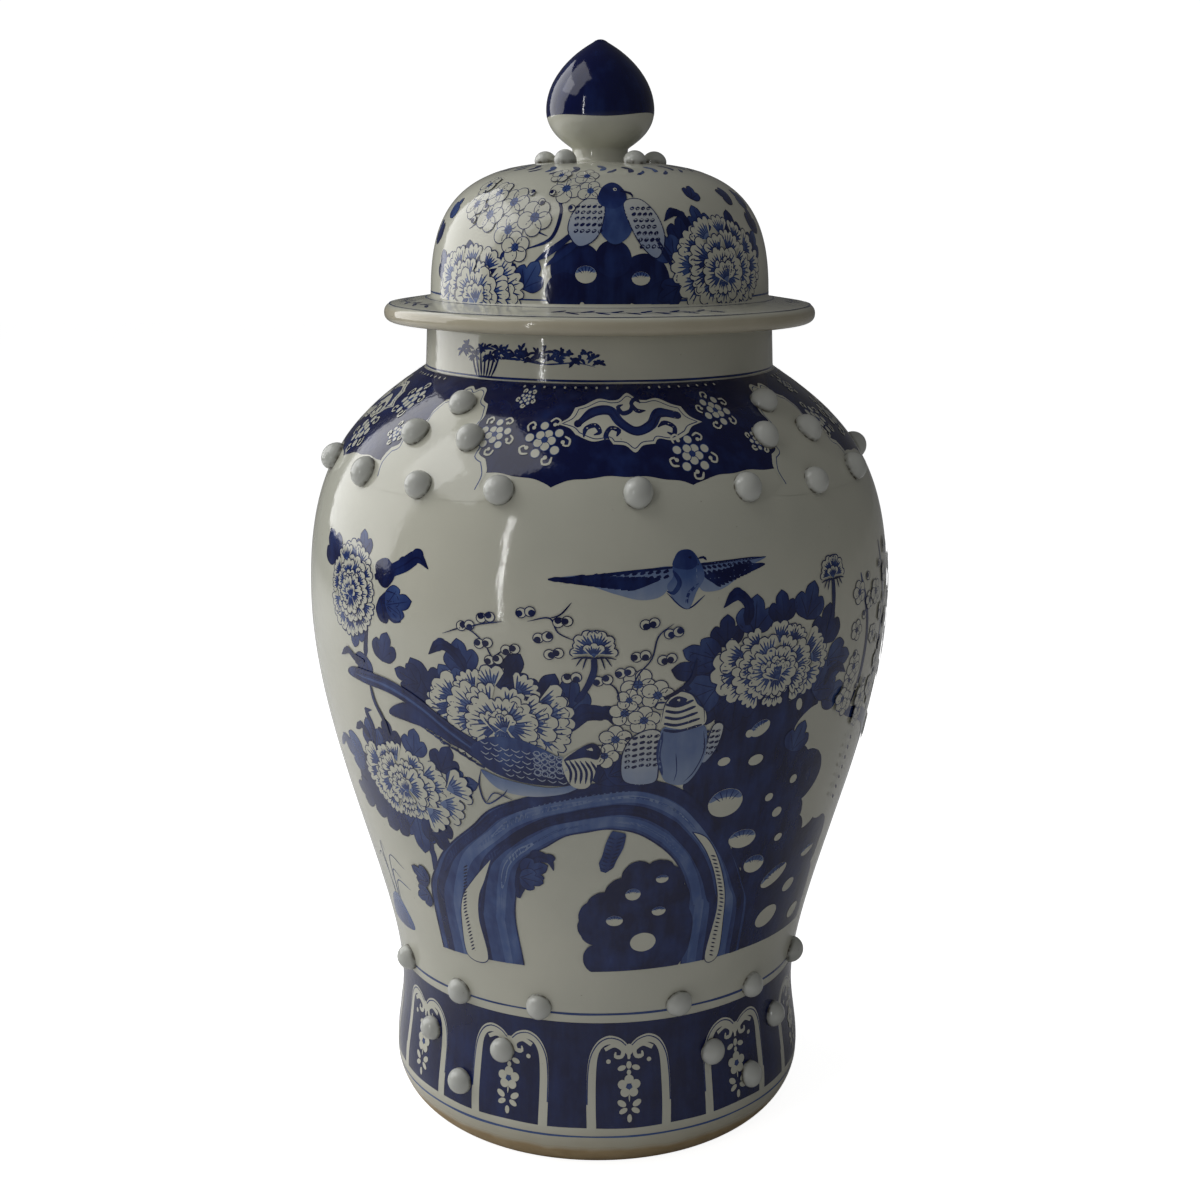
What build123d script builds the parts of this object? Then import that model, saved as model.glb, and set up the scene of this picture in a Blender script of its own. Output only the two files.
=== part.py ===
from build123d import *
import os

# Large lidded ginger jar in porcelain, thrown in sections, luted together and set with
# rows of small domed bosses.  Millimetres, +Z up, origin in the middle of the foot ring,
# on the surface that the jar stands on.  -Y is the front.

os.makedirs("parts", exist_ok=True)

# ---------------------------------------------------------------- driving dimensions

# jar wall, outside: radius and height of each place where the curve changes
waist_radius = 116.5
waist_height = 70.0
foot_flare = 4.0  # how far the foot stands out past the waist
foot_flare_height = 25.0
foot_tuck = 13.0  # how far the foot's edge draws back in under the flare
belly_radius = 163.5
belly_height = 304.0
neck_radius = 97.0
neck_base_height = 430.0
shoulder_slope = 34.0  # degrees below level, where the shoulder runs into the neck

# how far the curve holds its direction on each side of those places, as a share of the
# climb to the next one, and on the shoulder of the width that it crosses
foot_hold_share = 0.378
waist_hold_share = 0.2565
belly_hold_below_share = 0.3547
belly_hold_above_share = 0.5952
shoulder_hold_share = 0.752

# wall, floor and foot ring
wall = 9.0
throat_drop = 6.0
floor_thickness = 12.0
floor_corner = 20.0
foot_ring_width = 9.0
foot_recess = 10.0
foot_chamfer = 1.5

# heights at which the thrown sections are luted together
foot_seam_height = 108.0
belly_seam_height = 290.0

# neck collar
neck_height = 25.0
neck_taper = 1.5
neck_wall = 10.0
neck_rim_round = 3.0

# lid
brim_overhang = 22.0  # past the neck
brim_edge_thickness = 9.0
brim_root_thickness = 13.0
brim_edge_round = 4.0
dome_set_in = 3.7  # inside the neck's line
dome_height = 72.0
dome_side_hold_share = 0.625
dome_top_hold_share = 0.82
lid_wall = 9.0
locating_ring_depth = 18.0
locating_ring_wall = 6.5
locating_ring_round = 2.2
lid_clearance = 2.5
vent_radius = 3.0

# finial, a hollow bud on a short stem
stem_radius = 15.3
stem_height = 7.5
bud_radius = 29.3
bud_widest_height = 27.0
bud_height = 64.0
bud_tip_radius = 4.0
bud_tip_sag = 1.6  # how far the rounded tip falls to its edge
bud_wall = 6.0

# the bud's curves: how far the bowl spreads and lifts as it leaves the stem, and how far it
# runs upright under the widest place, as shares of its depth; how far the point stays
# upright above it, and how high and wide it draws in, as shares of the point's rise and width
bowl_spread = 0.25
bowl_lift = 0.15
bowl_upright = 0.55
point_upright = 0.4
point_draw_height = 0.75
point_draw_width = 0.614
hollow_swell = 1.3

# domed bosses pressed on to the wall
boss_radius = 9.0
boss_stand = 1.0
lid_boss_count = 5
lid_boss_turn = 36.0
lid_boss_circle = 32.0

# the groups of bosses are set round the jar by eye: degrees from the front, anticlockwise from above
shoulder_group_turns = [48, 140, 231, 322.5]
foot_group_turns = [46, 137, 229, 320.5]
lobe_boss_turns = [7.5, 98, 190, 282]
lobe_boss_drop = 47.0  # below the root of the neck

# each triangle of six: degrees from the group's middle, and how far below the root of the
# neck, or above the waist, the boss stands
shoulder_triangle = [(0, 12), (-8, 27), (8, 27), (-18, 48), (0, 49), (18, 48)]
foot_triangle = [(-24, 26), (0, 24), (24, 27), (-13, -7), (13, -4), (0, -29)]

# ---------------------------------------------------------------- worked-out sizes

foot_flare_radius = waist_radius + foot_flare
foot_edge_radius = foot_flare_radius - foot_tuck
foot_hold = (waist_height - foot_flare_height) * foot_hold_share
waist_hold = (belly_height - waist_height) * waist_hold_share
belly_hold_below = (belly_height - waist_height) * belly_hold_below_share
belly_hold_above = (neck_base_height - belly_height) * belly_hold_above_share
shoulder_hold = (belly_radius - neck_radius) * shoulder_hold_share
floor_top = foot_recess + floor_thickness
neck_bore_radius = neck_radius - neck_wall
throat_height = neck_base_height - throat_drop
seat_height = neck_base_height + neck_height
locating_outer_radius = neck_bore_radius - lid_clearance
locating_inner_radius = locating_outer_radius - locating_ring_wall
brim_radius = neck_radius + brim_overhang
dome_radius = neck_radius - dome_set_in
dome_side_hold = dome_height * dome_side_hold_share
dome_top_hold = (dome_radius - stem_radius) * dome_top_hold_share
dome_base_height = seat_height + brim_root_thickness
crown_height = dome_base_height + dome_height
lathe = Plane.XZ  # profiles are drawn as radius and height, then turned about Z
shoulder_direction = Vector(-1, 0).rotate(Axis.Z, -shoulder_slope)
most_of_half = 0.45  # two roundings of this share of a wall leave a flat between them


def keep(piece, label):
    """Name a finished piece and write it out as its own node."""
    piece.part.label = label
    export_step(piece.part, f"parts/{label}.step")


# ---------------------------------------------------------------- the jar's wall


def outer_wall_line():
    """The outside of the jar, from the foot's edge up to the root of the neck."""
    foot = (foot_flare_radius, foot_flare_height)
    waist = (waist_radius, waist_height)
    belly = (belly_radius, belly_height)
    root = Vector(neck_radius, neck_base_height)
    TangentArc(foot, (foot_edge_radius, 0), tangent=(0, -1))
    Bezier(
        foot,
        (foot_flare_radius, foot_flare_height + foot_hold),
        (waist_radius, waist_height - foot_hold),
        waist,
    )
    Bezier(
        waist,
        (waist_radius, waist_height + waist_hold),
        (belly_radius, belly_height - belly_hold_below),
        belly,
    )
    Bezier(
        belly,
        (belly_radius, belly_height + belly_hold_above),
        root - shoulder_direction * shoulder_hold,
        root,
    )


def inner_wall_line():
    """The inside of the jar, from the neck's bore down to the middle of the floor."""
    throat = Vector(neck_bore_radius, throat_height)
    belly = (belly_radius - wall, belly_height)
    waist = (waist_radius - wall, waist_height)
    corner = (waist_radius - wall, floor_top + floor_corner)
    floor_edge = (waist_radius - wall - floor_corner, floor_top)
    Line((neck_bore_radius, neck_base_height), throat)
    Bezier(
        throat,
        throat - shoulder_direction * shoulder_hold,
        (belly_radius - wall, belly_height + belly_hold_above - wall / 2),
        belly,
    )
    Bezier(
        belly,
        (belly_radius - wall, belly_height - belly_hold_below),
        (waist_radius - wall, waist_height + waist_hold),
        waist,
    )
    Line(waist, corner)
    TangentArc(corner, floor_edge, tangent=(0, -1))
    Line(floor_edge, (0, floor_top))


def foot_line():
    """Under the jar: the recessed base and the foot ring with its two chamfers."""
    ring_inner = foot_edge_radius - foot_ring_width
    Polyline(
        (0, floor_top),
        (0, foot_recess),
        (ring_inner - foot_chamfer, foot_recess),
        (ring_inner - foot_chamfer, foot_chamfer),
        (ring_inner, 0),
        (foot_edge_radius, 0),
    )


def wall_between(low, high):
    """The slice of the jar's wall that one thrown section takes up."""
    with BuildSketch(lathe) as wall_slice:
        with BuildLine():
            outer_wall_line()
            Line((neck_radius, neck_base_height), (neck_bore_radius, neck_base_height))
            inner_wall_line()
            foot_line()
        make_face()
        with Locations((0, (low + high) / 2)):
            Rectangle(4 * belly_radius, high - low, mode=Mode.INTERSECT)
    return wall_slice.sketch


with BuildPart() as foot_section:
    add(wall_between(0, foot_seam_height))
    revolve(axis=Axis.Z)
keep(foot_section, "foot_section")

with BuildPart() as belly_section:
    add(wall_between(foot_seam_height, belly_seam_height))
    revolve(axis=Axis.Z)
keep(belly_section, "belly_section")

with BuildPart() as shoulder_section:
    add(wall_between(belly_seam_height, neck_base_height))
    revolve(axis=Axis.Z)
keep(shoulder_section, "shoulder_section")

# ---------------------------------------------------------------- neck collar

with BuildPart() as neck_collar:
    with BuildSketch(lathe) as collar_face:
        with BuildLine():
            Polyline(
                (neck_bore_radius, neck_base_height),
                (neck_radius, neck_base_height),
                (neck_radius - neck_taper, seat_height),
                (neck_bore_radius, seat_height),
                close=True,
            )
        make_face()
        rim_corners = collar_face.vertices().group_by(Axis.Z)[-1]
        rim_width = neck_wall - neck_taper
        fillet(rim_corners, radius=min(neck_rim_round, rim_width * most_of_half))
    revolve(axis=Axis.Z)
keep(neck_collar, "neck_collar")

# ---------------------------------------------------------------- lid


def dome_outer_line():
    """The outside of the lid's dome, from the brim up to the crown under the finial."""
    Bezier(
        (dome_radius, dome_base_height),
        (dome_radius, dome_base_height + dome_side_hold),
        (stem_radius + dome_top_hold, crown_height),
        (stem_radius, crown_height),
    )


def dome_inner_line():
    """The inside of the dome, from the crown's vent down to the seat."""
    inner_base = (locating_inner_radius, dome_base_height)
    inner_crown = crown_height - lid_wall
    Line((vent_radius, crown_height), (vent_radius, inner_crown))
    Bezier(
        (vent_radius, inner_crown),
        (vent_radius + dome_top_hold, inner_crown),
        (dome_radius - lid_wall, dome_base_height + dome_side_hold - lid_wall),
        inner_base,
    )
    Line(inner_base, (locating_inner_radius, seat_height))


with BuildPart() as lid_shell:
    brim_top = seat_height + brim_edge_thickness
    with BuildSketch(lathe) as lid_face:
        with BuildLine():
            dome_outer_line()
            Line((stem_radius, crown_height), (vent_radius, crown_height))
            dome_inner_line()
            Polyline(
                (locating_inner_radius, seat_height),
                (brim_radius, seat_height),
                (brim_radius, brim_top),
                (dome_radius, dome_base_height),
            )
        make_face()
        brim_corners = lid_face.vertices().group_by(Axis.X)[-1]
        fillet(brim_corners, radius=min(brim_edge_round, brim_edge_thickness * most_of_half))
    revolve(axis=Axis.Z)
keep(lid_shell, "lid_shell")

with BuildPart() as lid_locating_ring:
    ring_bottom = seat_height - locating_ring_depth
    with BuildSketch(lathe) as ring_face:
        with Locations((locating_inner_radius, ring_bottom)):
            Rectangle(locating_ring_wall, locating_ring_depth, align=(Align.MIN, Align.MIN))
        ring_corners = ring_face.vertices().group_by(Axis.Z)[0]
        fillet(ring_corners, radius=min(locating_ring_round, locating_ring_wall * most_of_half))
    revolve(axis=Axis.Z)
keep(lid_locating_ring, "lid_locating_ring")

# ---------------------------------------------------------------- finial

with BuildPart() as finial:
    stem_top = crown_height + stem_height
    widest = Vector(bud_radius, crown_height + bud_widest_height)
    tip_height = crown_height + bud_height
    bowl_depth = widest.Y - stem_top
    point_rise = tip_height - widest.Y
    tip_edge = (bud_tip_radius, tip_height - bud_tip_sag)
    hollow_radius = bud_radius - bud_wall
    hollow_bottom = stem_top + bud_wall / 2
    hollow_top = tip_height - point_rise / 2
    with BuildSketch(lathe):
        with BuildLine():
            Line((vent_radius, crown_height), (stem_radius, crown_height))
            Line((stem_radius, crown_height), (stem_radius, stem_top))
            Bezier(
                (stem_radius, stem_top),
                (stem_radius + bowl_depth * bowl_spread, stem_top + bowl_depth * bowl_lift),
                (bud_radius, widest.Y - bowl_depth * bowl_upright),
                widest,
            )
            Bezier(
                widest,
                (bud_radius, widest.Y + point_rise * point_upright),
                (bud_radius * point_draw_width, widest.Y + point_rise * point_draw_height),
                tip_edge,
            )
            TangentArc((0, tip_height), tip_edge, tangent=(1, 0))
            Line((0, tip_height), (0, hollow_top))
            # the hollow, and the vent that lets steam out of it in the kiln
            Bezier(
                (0, hollow_top),
                (hollow_radius, hollow_top),
                (hollow_radius * hollow_swell, hollow_bottom),
                (vent_radius, hollow_bottom),
            )
            Line((vent_radius, hollow_bottom), (vent_radius, crown_height))
        make_face()
    revolve(axis=Axis.Z)
keep(finial, "finial")

# ---------------------------------------------------------------- bosses

# the two profiles again, as lines of radius and height for finding places on the wall
with BuildLine() as jar_line:
    outer_wall_line()
with BuildLine() as dome_line:
    dome_outer_line()
jar_profile = jar_line.wire()
dome_profile = dome_line.wire()

# solids that fill the jar and the lid, so that a boss is cut to the wall it sits on
with BuildPart() as jar_fill:
    with BuildSketch(lathe):
        with BuildLine():
            outer_wall_line()
            Polyline(
                (neck_radius, neck_base_height),
                (0, neck_base_height),
                (0, 0),
                (foot_edge_radius, 0),
            )
        make_face()
    revolve(axis=Axis.Z)

with BuildPart() as dome_fill:
    with BuildSketch(lathe):
        with BuildLine():
            dome_outer_line()
            Polyline(
                (stem_radius, crown_height),
                (0, crown_height),
                (0, dome_base_height),
                (dome_radius, dome_base_height),
            )
        make_face()
    revolve(axis=Axis.Z)


place_tolerance = 1e-6  # share of the profile's length


def boss_place(profile, reached, turn):
    """Where a boss's ball goes: at the place along the profile where reached(radius, height)
    turns true, standing out a little from the wall, and turned about Z from the front."""
    before, after = 0.0, 1.0
    while after - before > place_tolerance:
        middle = (before + after) / 2
        point = profile.position_at(middle)
        if reached(point.X, point.Y):
            after = middle
        else:
            before = middle
    point = profile.position_at(after)
    along = profile.tangent_at(after)
    outward = Vector(abs(along.Y), 0, abs(along.X))
    if along.X * along.Y > 0:
        outward = Vector(outward.X, 0, -outward.Z)
    centre = Vector(point.X, 0, point.Y) + outward * boss_stand
    poles_out = (90, 0, 0)  # the ball's poles face out of the wall and into it
    return Location(centre.rotate(Axis.Z, turn - 90), poles_out)


def boss_on_jar(turn, height):
    """Where a boss goes on the jar's wall; the profile runs down from the neck."""
    return boss_place(jar_profile, lambda radius, z: z <= height, turn)


def boss_on_dome(turn, circle):
    """Where a boss goes on the lid's dome; the profile runs up and in from the brim."""
    return boss_place(dome_profile, lambda radius, z: radius <= circle, turn)


# one triangle of each kind and one single boss are cut to the wall, a little way round from
# the front so that no ball is cut on a plane of symmetry
cut_turn = 5.0
with BuildPart() as shoulder_triangle_cut:
    for turn, drop in shoulder_triangle:
        with Locations(boss_on_jar(cut_turn + turn, neck_base_height - drop)):
            Sphere(boss_radius)
    add(jar_fill.part, mode=Mode.SUBTRACT)

with BuildPart() as foot_triangle_cut:
    for turn, rise in foot_triangle:
        with Locations(boss_on_jar(cut_turn + turn, waist_height + rise)):
            Sphere(boss_radius)
    add(jar_fill.part, mode=Mode.SUBTRACT)

with BuildPart() as lobe_boss_cut:
    with Locations(boss_on_jar(cut_turn, neck_base_height - lobe_boss_drop)):
        Sphere(boss_radius)
    add(jar_fill.part, mode=Mode.SUBTRACT)

with BuildPart() as lid_boss_cut:
    with Locations(boss_on_dome(cut_turn, lid_boss_circle)):
        Sphere(boss_radius)
    add(dome_fill.part, mode=Mode.SUBTRACT)

# and turned round to where the others stand
for number, group_turn in enumerate(shoulder_group_turns, start=1):
    with BuildPart() as shoulder_bosses:
        add(shoulder_triangle_cut.part, rotation=(0, 0, group_turn - cut_turn))
    keep(shoulder_bosses, f"shoulder_bosses_{number}")

for number, group_turn in enumerate(foot_group_turns, start=1):
    with BuildPart() as foot_bosses:
        add(foot_triangle_cut.part, rotation=(0, 0, group_turn - cut_turn))
    keep(foot_bosses, f"foot_bosses_{number}")

with BuildPart() as lobe_bosses:
    for lobe_turn in lobe_boss_turns:
        add(lobe_boss_cut.part, rotation=(0, 0, lobe_turn - cut_turn))
keep(lobe_bosses, "lobe_bosses")

with BuildPart() as lid_bosses:
    for number in range(lid_boss_count):
        lid_turn = lid_boss_turn + number * 360 / lid_boss_count
        add(lid_boss_cut.part, rotation=(0, 0, lid_turn - cut_turn))
keep(lid_bosses, "lid_bosses")
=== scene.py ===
# %% [markdown]
# # A lidded ginger jar, thrown, luted, painted in cobalt and glazed
#
# A potter makes this jar in sections on the wheel, joins them, presses small domed bosses
# on to the wall, paints it with cobalt and dips it in a clear, slightly green glaze. The
# lesson follows the same order: first the CAD frame, then the turned clay, the bosses, the
# brushwork, and last the light. Everything is placed in the frame's own metres.

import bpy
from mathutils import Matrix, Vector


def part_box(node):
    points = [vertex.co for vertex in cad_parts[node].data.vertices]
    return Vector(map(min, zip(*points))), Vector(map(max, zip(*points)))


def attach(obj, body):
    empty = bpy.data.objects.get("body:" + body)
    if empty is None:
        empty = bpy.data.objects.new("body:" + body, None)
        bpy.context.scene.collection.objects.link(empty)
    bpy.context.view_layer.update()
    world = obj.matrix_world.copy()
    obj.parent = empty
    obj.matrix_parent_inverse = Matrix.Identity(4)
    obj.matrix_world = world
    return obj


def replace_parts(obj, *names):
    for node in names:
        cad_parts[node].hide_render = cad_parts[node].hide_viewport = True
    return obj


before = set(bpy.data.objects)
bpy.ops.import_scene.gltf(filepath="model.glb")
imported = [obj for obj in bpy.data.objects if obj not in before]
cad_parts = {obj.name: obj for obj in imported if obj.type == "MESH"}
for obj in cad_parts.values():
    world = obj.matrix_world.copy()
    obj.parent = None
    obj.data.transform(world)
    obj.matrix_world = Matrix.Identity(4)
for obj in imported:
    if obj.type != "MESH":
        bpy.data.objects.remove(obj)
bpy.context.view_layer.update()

# %% Tools of the bench
import math

import bmesh
import bpy
import numpy as np
from mathutils import Matrix, Vector
from mathutils.geometry import interpolate_bezier

MM = 0.001
scene = bpy.context.scene
hand = np.random.default_rng(7)  # the small unevenness of work done by hand

# %% [markdown]
# ## The turned profiles
#
# A thrown pot is one profile turned round an axis, so its whole shape is a line of radius
# and height. The line could be read off the CAD mesh, but that mesh is made of flat facets
# that a mirror-like glaze would show. So the same curves are drawn again here, much finer:
# an arc under the foot and three curves that meet where the CAD's curves meet. The sizes
# that the frame's boxes give are taken from them, and the rest are the potter's own.

# %% Sizes in millimetres
def top_of(node):
    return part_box(node)[1].z / MM


def radius_of(node):
    low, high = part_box(node)
    return (high.x - low.x) / 2 / MM


foot_edge, foot_flare = (107.5, 0.0), (120.5, 25.0)
waist = (116.5, 70.0)
belly = (radius_of("shoulder_section"), 304.0)
neck_root = (97.0, top_of("shoulder_section"))
seat = top_of("neck_collar")
shoulder_slope = math.radians(34)
wall, floor_top, floor_corner = 9.0, 22.0, 20.0
bore, throat = neck_root[0] - 10, neck_root[1] - 6
foot_hold, waist_hold, below_belly, above_belly, shoulder_hold = 17.01, 60.02, 83.0, 75.0, 50.0
brim, brim_edge, dome_base = radius_of("lid_shell"), 9.0, seat + 13
dome, crown = 93.3, top_of("lid_shell")
stem, tip = 15.3, top_of("finial")
print("belly", belly, "neck", neck_root, "seat", seat, "crown", crown, "tip", tip)


# %% Curves that a profile is made of
def bend(start, start_hold, end_hold, end, steps):
    """A curve of radius and height that holds its direction at both ends."""
    corners = [Vector((r, z, 0)) for r, z in (start, start_hold, end_hold, end)]
    return [(p.x, p.y) for p in interpolate_bezier(*corners, steps + 1)]


def foot_arc(steps):
    """The quarter-round under the flare, which leaves the flare upright."""
    draw, rise = foot_flare[0] - foot_edge[0], foot_flare[1] - foot_edge[1]
    radius = (rise**2 + draw**2) / (2 * draw)
    swing = math.asin(rise / radius)
    turns = [swing * (k / steps - 1) for k in range(steps + 1)]
    return [
        (foot_flare[0] - radius * (1 - math.cos(t)), foot_flare[1] + radius * math.sin(t))
        for t in turns
    ]


slope = (-math.cos(shoulder_slope), math.sin(shoulder_slope))
jar_outside = (
    foot_arc(14)
    + bend(foot_flare, (foot_flare[0], foot_flare[1] + foot_hold),
           (waist[0], waist[1] - foot_hold), waist, 24)[1:]
    + bend(waist, (waist[0], waist[1] + waist_hold),
           (belly[0], belly[1] - below_belly), belly, 100)[1:]
    + bend(belly, (belly[0], belly[1] + above_belly),
           (neck_root[0] - slope[0] * shoulder_hold, neck_root[1] - slope[1] * shoulder_hold),
           neck_root, 90)[1:]
)
jar_inside = (
    [(bore, neck_root[1])]
    + bend((bore, throat),
           (bore - slope[0] * shoulder_hold, throat - slope[1] * shoulder_hold),
           (belly[0] - wall, belly[1] + above_belly - wall / 2), (belly[0] - wall, belly[1]), 30)
    + bend((belly[0] - wall, belly[1]), (belly[0] - wall, belly[1] - below_belly),
           (waist[0] - wall, waist[1] + waist_hold), (waist[0] - wall, waist[1]), 30)[1:]
    + bend((waist[0] - wall, floor_top + floor_corner), (waist[0] - wall, floor_top + 9),
           (waist[0] - wall - 9, floor_top), (waist[0] - wall - floor_corner, floor_top), 8)
    + [(0.0, floor_top), (0.0, 10.0), (97.0, 10.0), (97.0, 1.5), (98.5, 0.0)]
)
dome_outside = bend((dome, dome_base), (dome, dome_base + 45), (stem + 64, crown),
                    (stem, crown), 90)
print(len(jar_outside), "points outside,", len(jar_inside), "inside")

# %% [markdown]
# ## Glaze, cobalt and clay
#
# Under a clear glaze all the colours share one skin: a very smooth surface with a faint
# orange-peel ripple, a few specks from the kiln, and slow changes of tone where the glaze
# pooled. That skin is one node group that every material uses. The cobalt is a second
# group: it turns how much pigment the brush left, the attribute `ink`, into a blue from
# pale wash to nearly black, and lets the glaze show where there is none.

# %% A helper that writes node groups
def node_group(name, inputs, outputs):
    """An empty shader group with named sockets, its tree, input node and output node."""
    tree = bpy.data.node_groups.new(name, "ShaderNodeTree")
    for label, kind, value in inputs:
        socket = tree.interface.new_socket(label, in_out="INPUT", socket_type=kind)
        socket.default_value = value
    for label, kind in outputs:
        tree.interface.new_socket(label, in_out="OUTPUT", socket_type=kind)
    return tree, tree.nodes.new("NodeGroupInput"), tree.nodes.new("NodeGroupOutput")


def noise(tree, scale, detail=2.0, stretch=(1, 1, 1)):
    """A noise over the object's own coordinates, stretched along its axes."""
    place = tree.nodes.new("ShaderNodeTexCoord")
    mapping = tree.nodes.new("ShaderNodeMapping")
    mapping.inputs["Scale"].default_value = stretch
    texture = tree.nodes.new("ShaderNodeTexNoise")
    texture.inputs["Scale"].default_value = scale
    texture.inputs["Detail"].default_value = detail
    tree.links.new(place.outputs["Object"], mapping.inputs["Vector"])
    tree.links.new(mapping.outputs["Vector"], texture.inputs["Vector"])
    return texture.outputs["Fac"]


def span(tree, value, low, high, to_low, to_high):
    """Value from low..high read as to_low..to_high, held at the ends."""
    node = tree.nodes.new("ShaderNodeMapRange")
    for label, number in zip(("From Min", "From Max", "To Min", "To Max"),
                             (low, high, to_low, to_high)):
        node.inputs[label].default_value = number
    tree.links.new(value, node.inputs["Value"])
    return node.outputs["Result"]


def mixed(tree, share, one, other):
    """Two colours mixed. A colour is a socket or a tuple."""
    node = tree.nodes.new("ShaderNodeMix")
    node.data_type = "RGBA"
    for socket, value in ((node.inputs["Factor"], share), (node.inputs[6], one),
                          (node.inputs[7], other)):
        if isinstance(value, bpy.types.NodeSocket):
            tree.links.new(value, socket)
        else:
            socket.default_value = value
    return node.outputs[2]


def maths(tree, operation, one, other):
    """One sum of two values. A value is a socket or a number."""
    node = tree.nodes.new("ShaderNodeMath")
    node.operation = operation
    for socket, value in zip(node.inputs, (one, other)):
        if isinstance(value, bpy.types.NodeSocket):
            tree.links.new(value, socket)
        else:
            socket.default_value = value
    return node.outputs[0]


# %% The glaze skin
COLOUR, FLOAT = "NodeSocketColor", "NodeSocketFloat"
glaze_white = (0.600, 0.590, 0.495, 1)
glaze_thick = (0.505, 0.505, 0.428, 1)

skin_tree, skin_in, skin_out = node_group(
    "glaze_skin",
    [("White", COLOUR, glaze_white), ("Thick", COLOUR, glaze_thick), ("Ripple", FLOAT, 1.0)],
    [("Color", COLOUR), ("Roughness", FLOAT), ("Height", FLOAT)],
)
pooled = span(skin_tree, noise(skin_tree, 9, 3), 0.35, 0.65, 0, 1)
tone = mixed(skin_tree, pooled, skin_in.outputs["White"], skin_in.outputs["Thick"])
specks = span(skin_tree, noise(skin_tree, 420, 1), 0.80, 0.84, 0, 0.55)
tone = mixed(skin_tree, specks, tone, (0.16, 0.12, 0.08, 1))
skin_tree.links.new(tone, skin_out.inputs["Color"])
skin_tree.links.new(span(skin_tree, noise(skin_tree, 30, 2), 0.3, 0.7, 0.05, 0.12),
                    skin_out.inputs["Roughness"])
peel = maths(skin_tree, "MULTIPLY", noise(skin_tree, 260, 2), 0.16)
sway = maths(skin_tree, "ADD", noise(skin_tree, 26, 1), peel)
skin_tree.links.new(maths(skin_tree, "MULTIPLY", sway, skin_in.outputs["Ripple"]),
                    skin_out.inputs["Height"])
print("glaze skin has", len(skin_tree.nodes), "nodes")

# %% The cobalt wash
wash_tree, wash_in, wash_out = node_group(
    "cobalt_wash",
    [("Ink", FLOAT, 0.8), ("Glaze", COLOUR, glaze_white), ("Streaks", FLOAT, 0.25)],
    [("Color", COLOUR)],
)
streak = span(wash_tree, noise(wash_tree, 150, 3, (1, 1, 0.12)), 0.3, 0.7, -1, 1)
cloud = span(wash_tree, noise(wash_tree, 60, 3), 0.3, 0.7, -1, 1)
uneven = maths(wash_tree, "ADD", maths(wash_tree, "MULTIPLY", streak, 0.5),
               maths(wash_tree, "MULTIPLY", cloud, 0.5))
uneven = maths(wash_tree, "MULTIPLY", uneven, wash_in.outputs["Streaks"])
uneven = maths(wash_tree, "MULTIPLY", uneven, wash_in.outputs["Ink"])
load = maths(wash_tree, "ADD", uneven, wash_in.outputs["Ink"])
blues = wash_tree.nodes.new("ShaderNodeValToRGB")
blue_stops = [
    (0.00, (0.420, 0.450, 0.500, 1)),
    (0.20, (0.200, 0.260, 0.400, 1)),
    (0.45, (0.052, 0.098, 0.260, 1)),
    (0.70, (0.012, 0.028, 0.130, 1)),
    (1.00, (0.003, 0.006, 0.050, 1)),
]
for number, (at, colour) in enumerate(blue_stops):
    stops = blues.color_ramp.elements
    stop = stops[number] if number < 2 else stops.new(at)
    stop.position, stop.color = at, colour
wash_tree.links.new(load, blues.inputs["Fac"])
shown = span(wash_tree, wash_in.outputs["Ink"], 0.02, 0.12, 0, 1)
wash_tree.links.new(mixed(wash_tree, shown, wash_in.outputs["Glaze"], blues.outputs["Color"]),
                    wash_out.inputs["Color"])
print("cobalt wash has", len(wash_tree.nodes), "nodes")


# %% The materials
def glazed(name, white=glaze_white, thick=glaze_thick, ripple=1.0):
    """A material with the glaze skin. Returns it, its tree, the skin and the shader."""
    material = bpy.data.materials.new(name)
    material.use_nodes = True
    tree = material.node_tree
    shader = tree.nodes["Principled BSDF"]
    shader.inputs["IOR"].default_value = 1.48
    shader.inputs["Coat Weight"].default_value = 0.1
    shader.inputs["Coat Roughness"].default_value = 0.04
    skin = tree.nodes.new("ShaderNodeGroup")
    skin.node_tree = skin_tree
    skin.inputs["White"].default_value = white
    skin.inputs["Thick"].default_value = thick
    skin.inputs["Ripple"].default_value = ripple
    bump = tree.nodes.new("ShaderNodeBump")
    bump.inputs["Strength"].default_value = 0.5
    bump.inputs["Distance"].default_value = 0.0011
    tree.links.new(skin.outputs["Height"], bump.inputs["Height"])
    tree.links.new(skin.outputs["Color"], shader.inputs["Base Color"])
    tree.links.new(skin.outputs["Roughness"], shader.inputs["Roughness"])
    tree.links.new(bump.outputs["Normal"], shader.inputs["Normal"])
    return material, tree, skin, shader


glaze_material = glazed("clear_glaze")[0]


def cobalt_material(name, streaks):
    """Cobalt under the glaze, as dark as the piece's ink attribute says."""
    material, tree, skin, shader = glazed(name)
    ink = tree.nodes.new("ShaderNodeAttribute")
    ink.attribute_name = "ink"
    wash = tree.nodes.new("ShaderNodeGroup")
    wash.node_tree = wash_tree
    wash.inputs["Streaks"].default_value = streaks
    tree.links.new(ink.outputs["Fac"], wash.inputs["Ink"])
    tree.links.new(skin.outputs["Color"], wash.inputs["Glaze"])
    tree.links.new(wash.outputs["Color"], shader.inputs["Base Color"])
    return material


brush_cobalt = cobalt_material("brush_cobalt", 0.28)
band_cobalt = cobalt_material("band_cobalt", 0.16)
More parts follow.
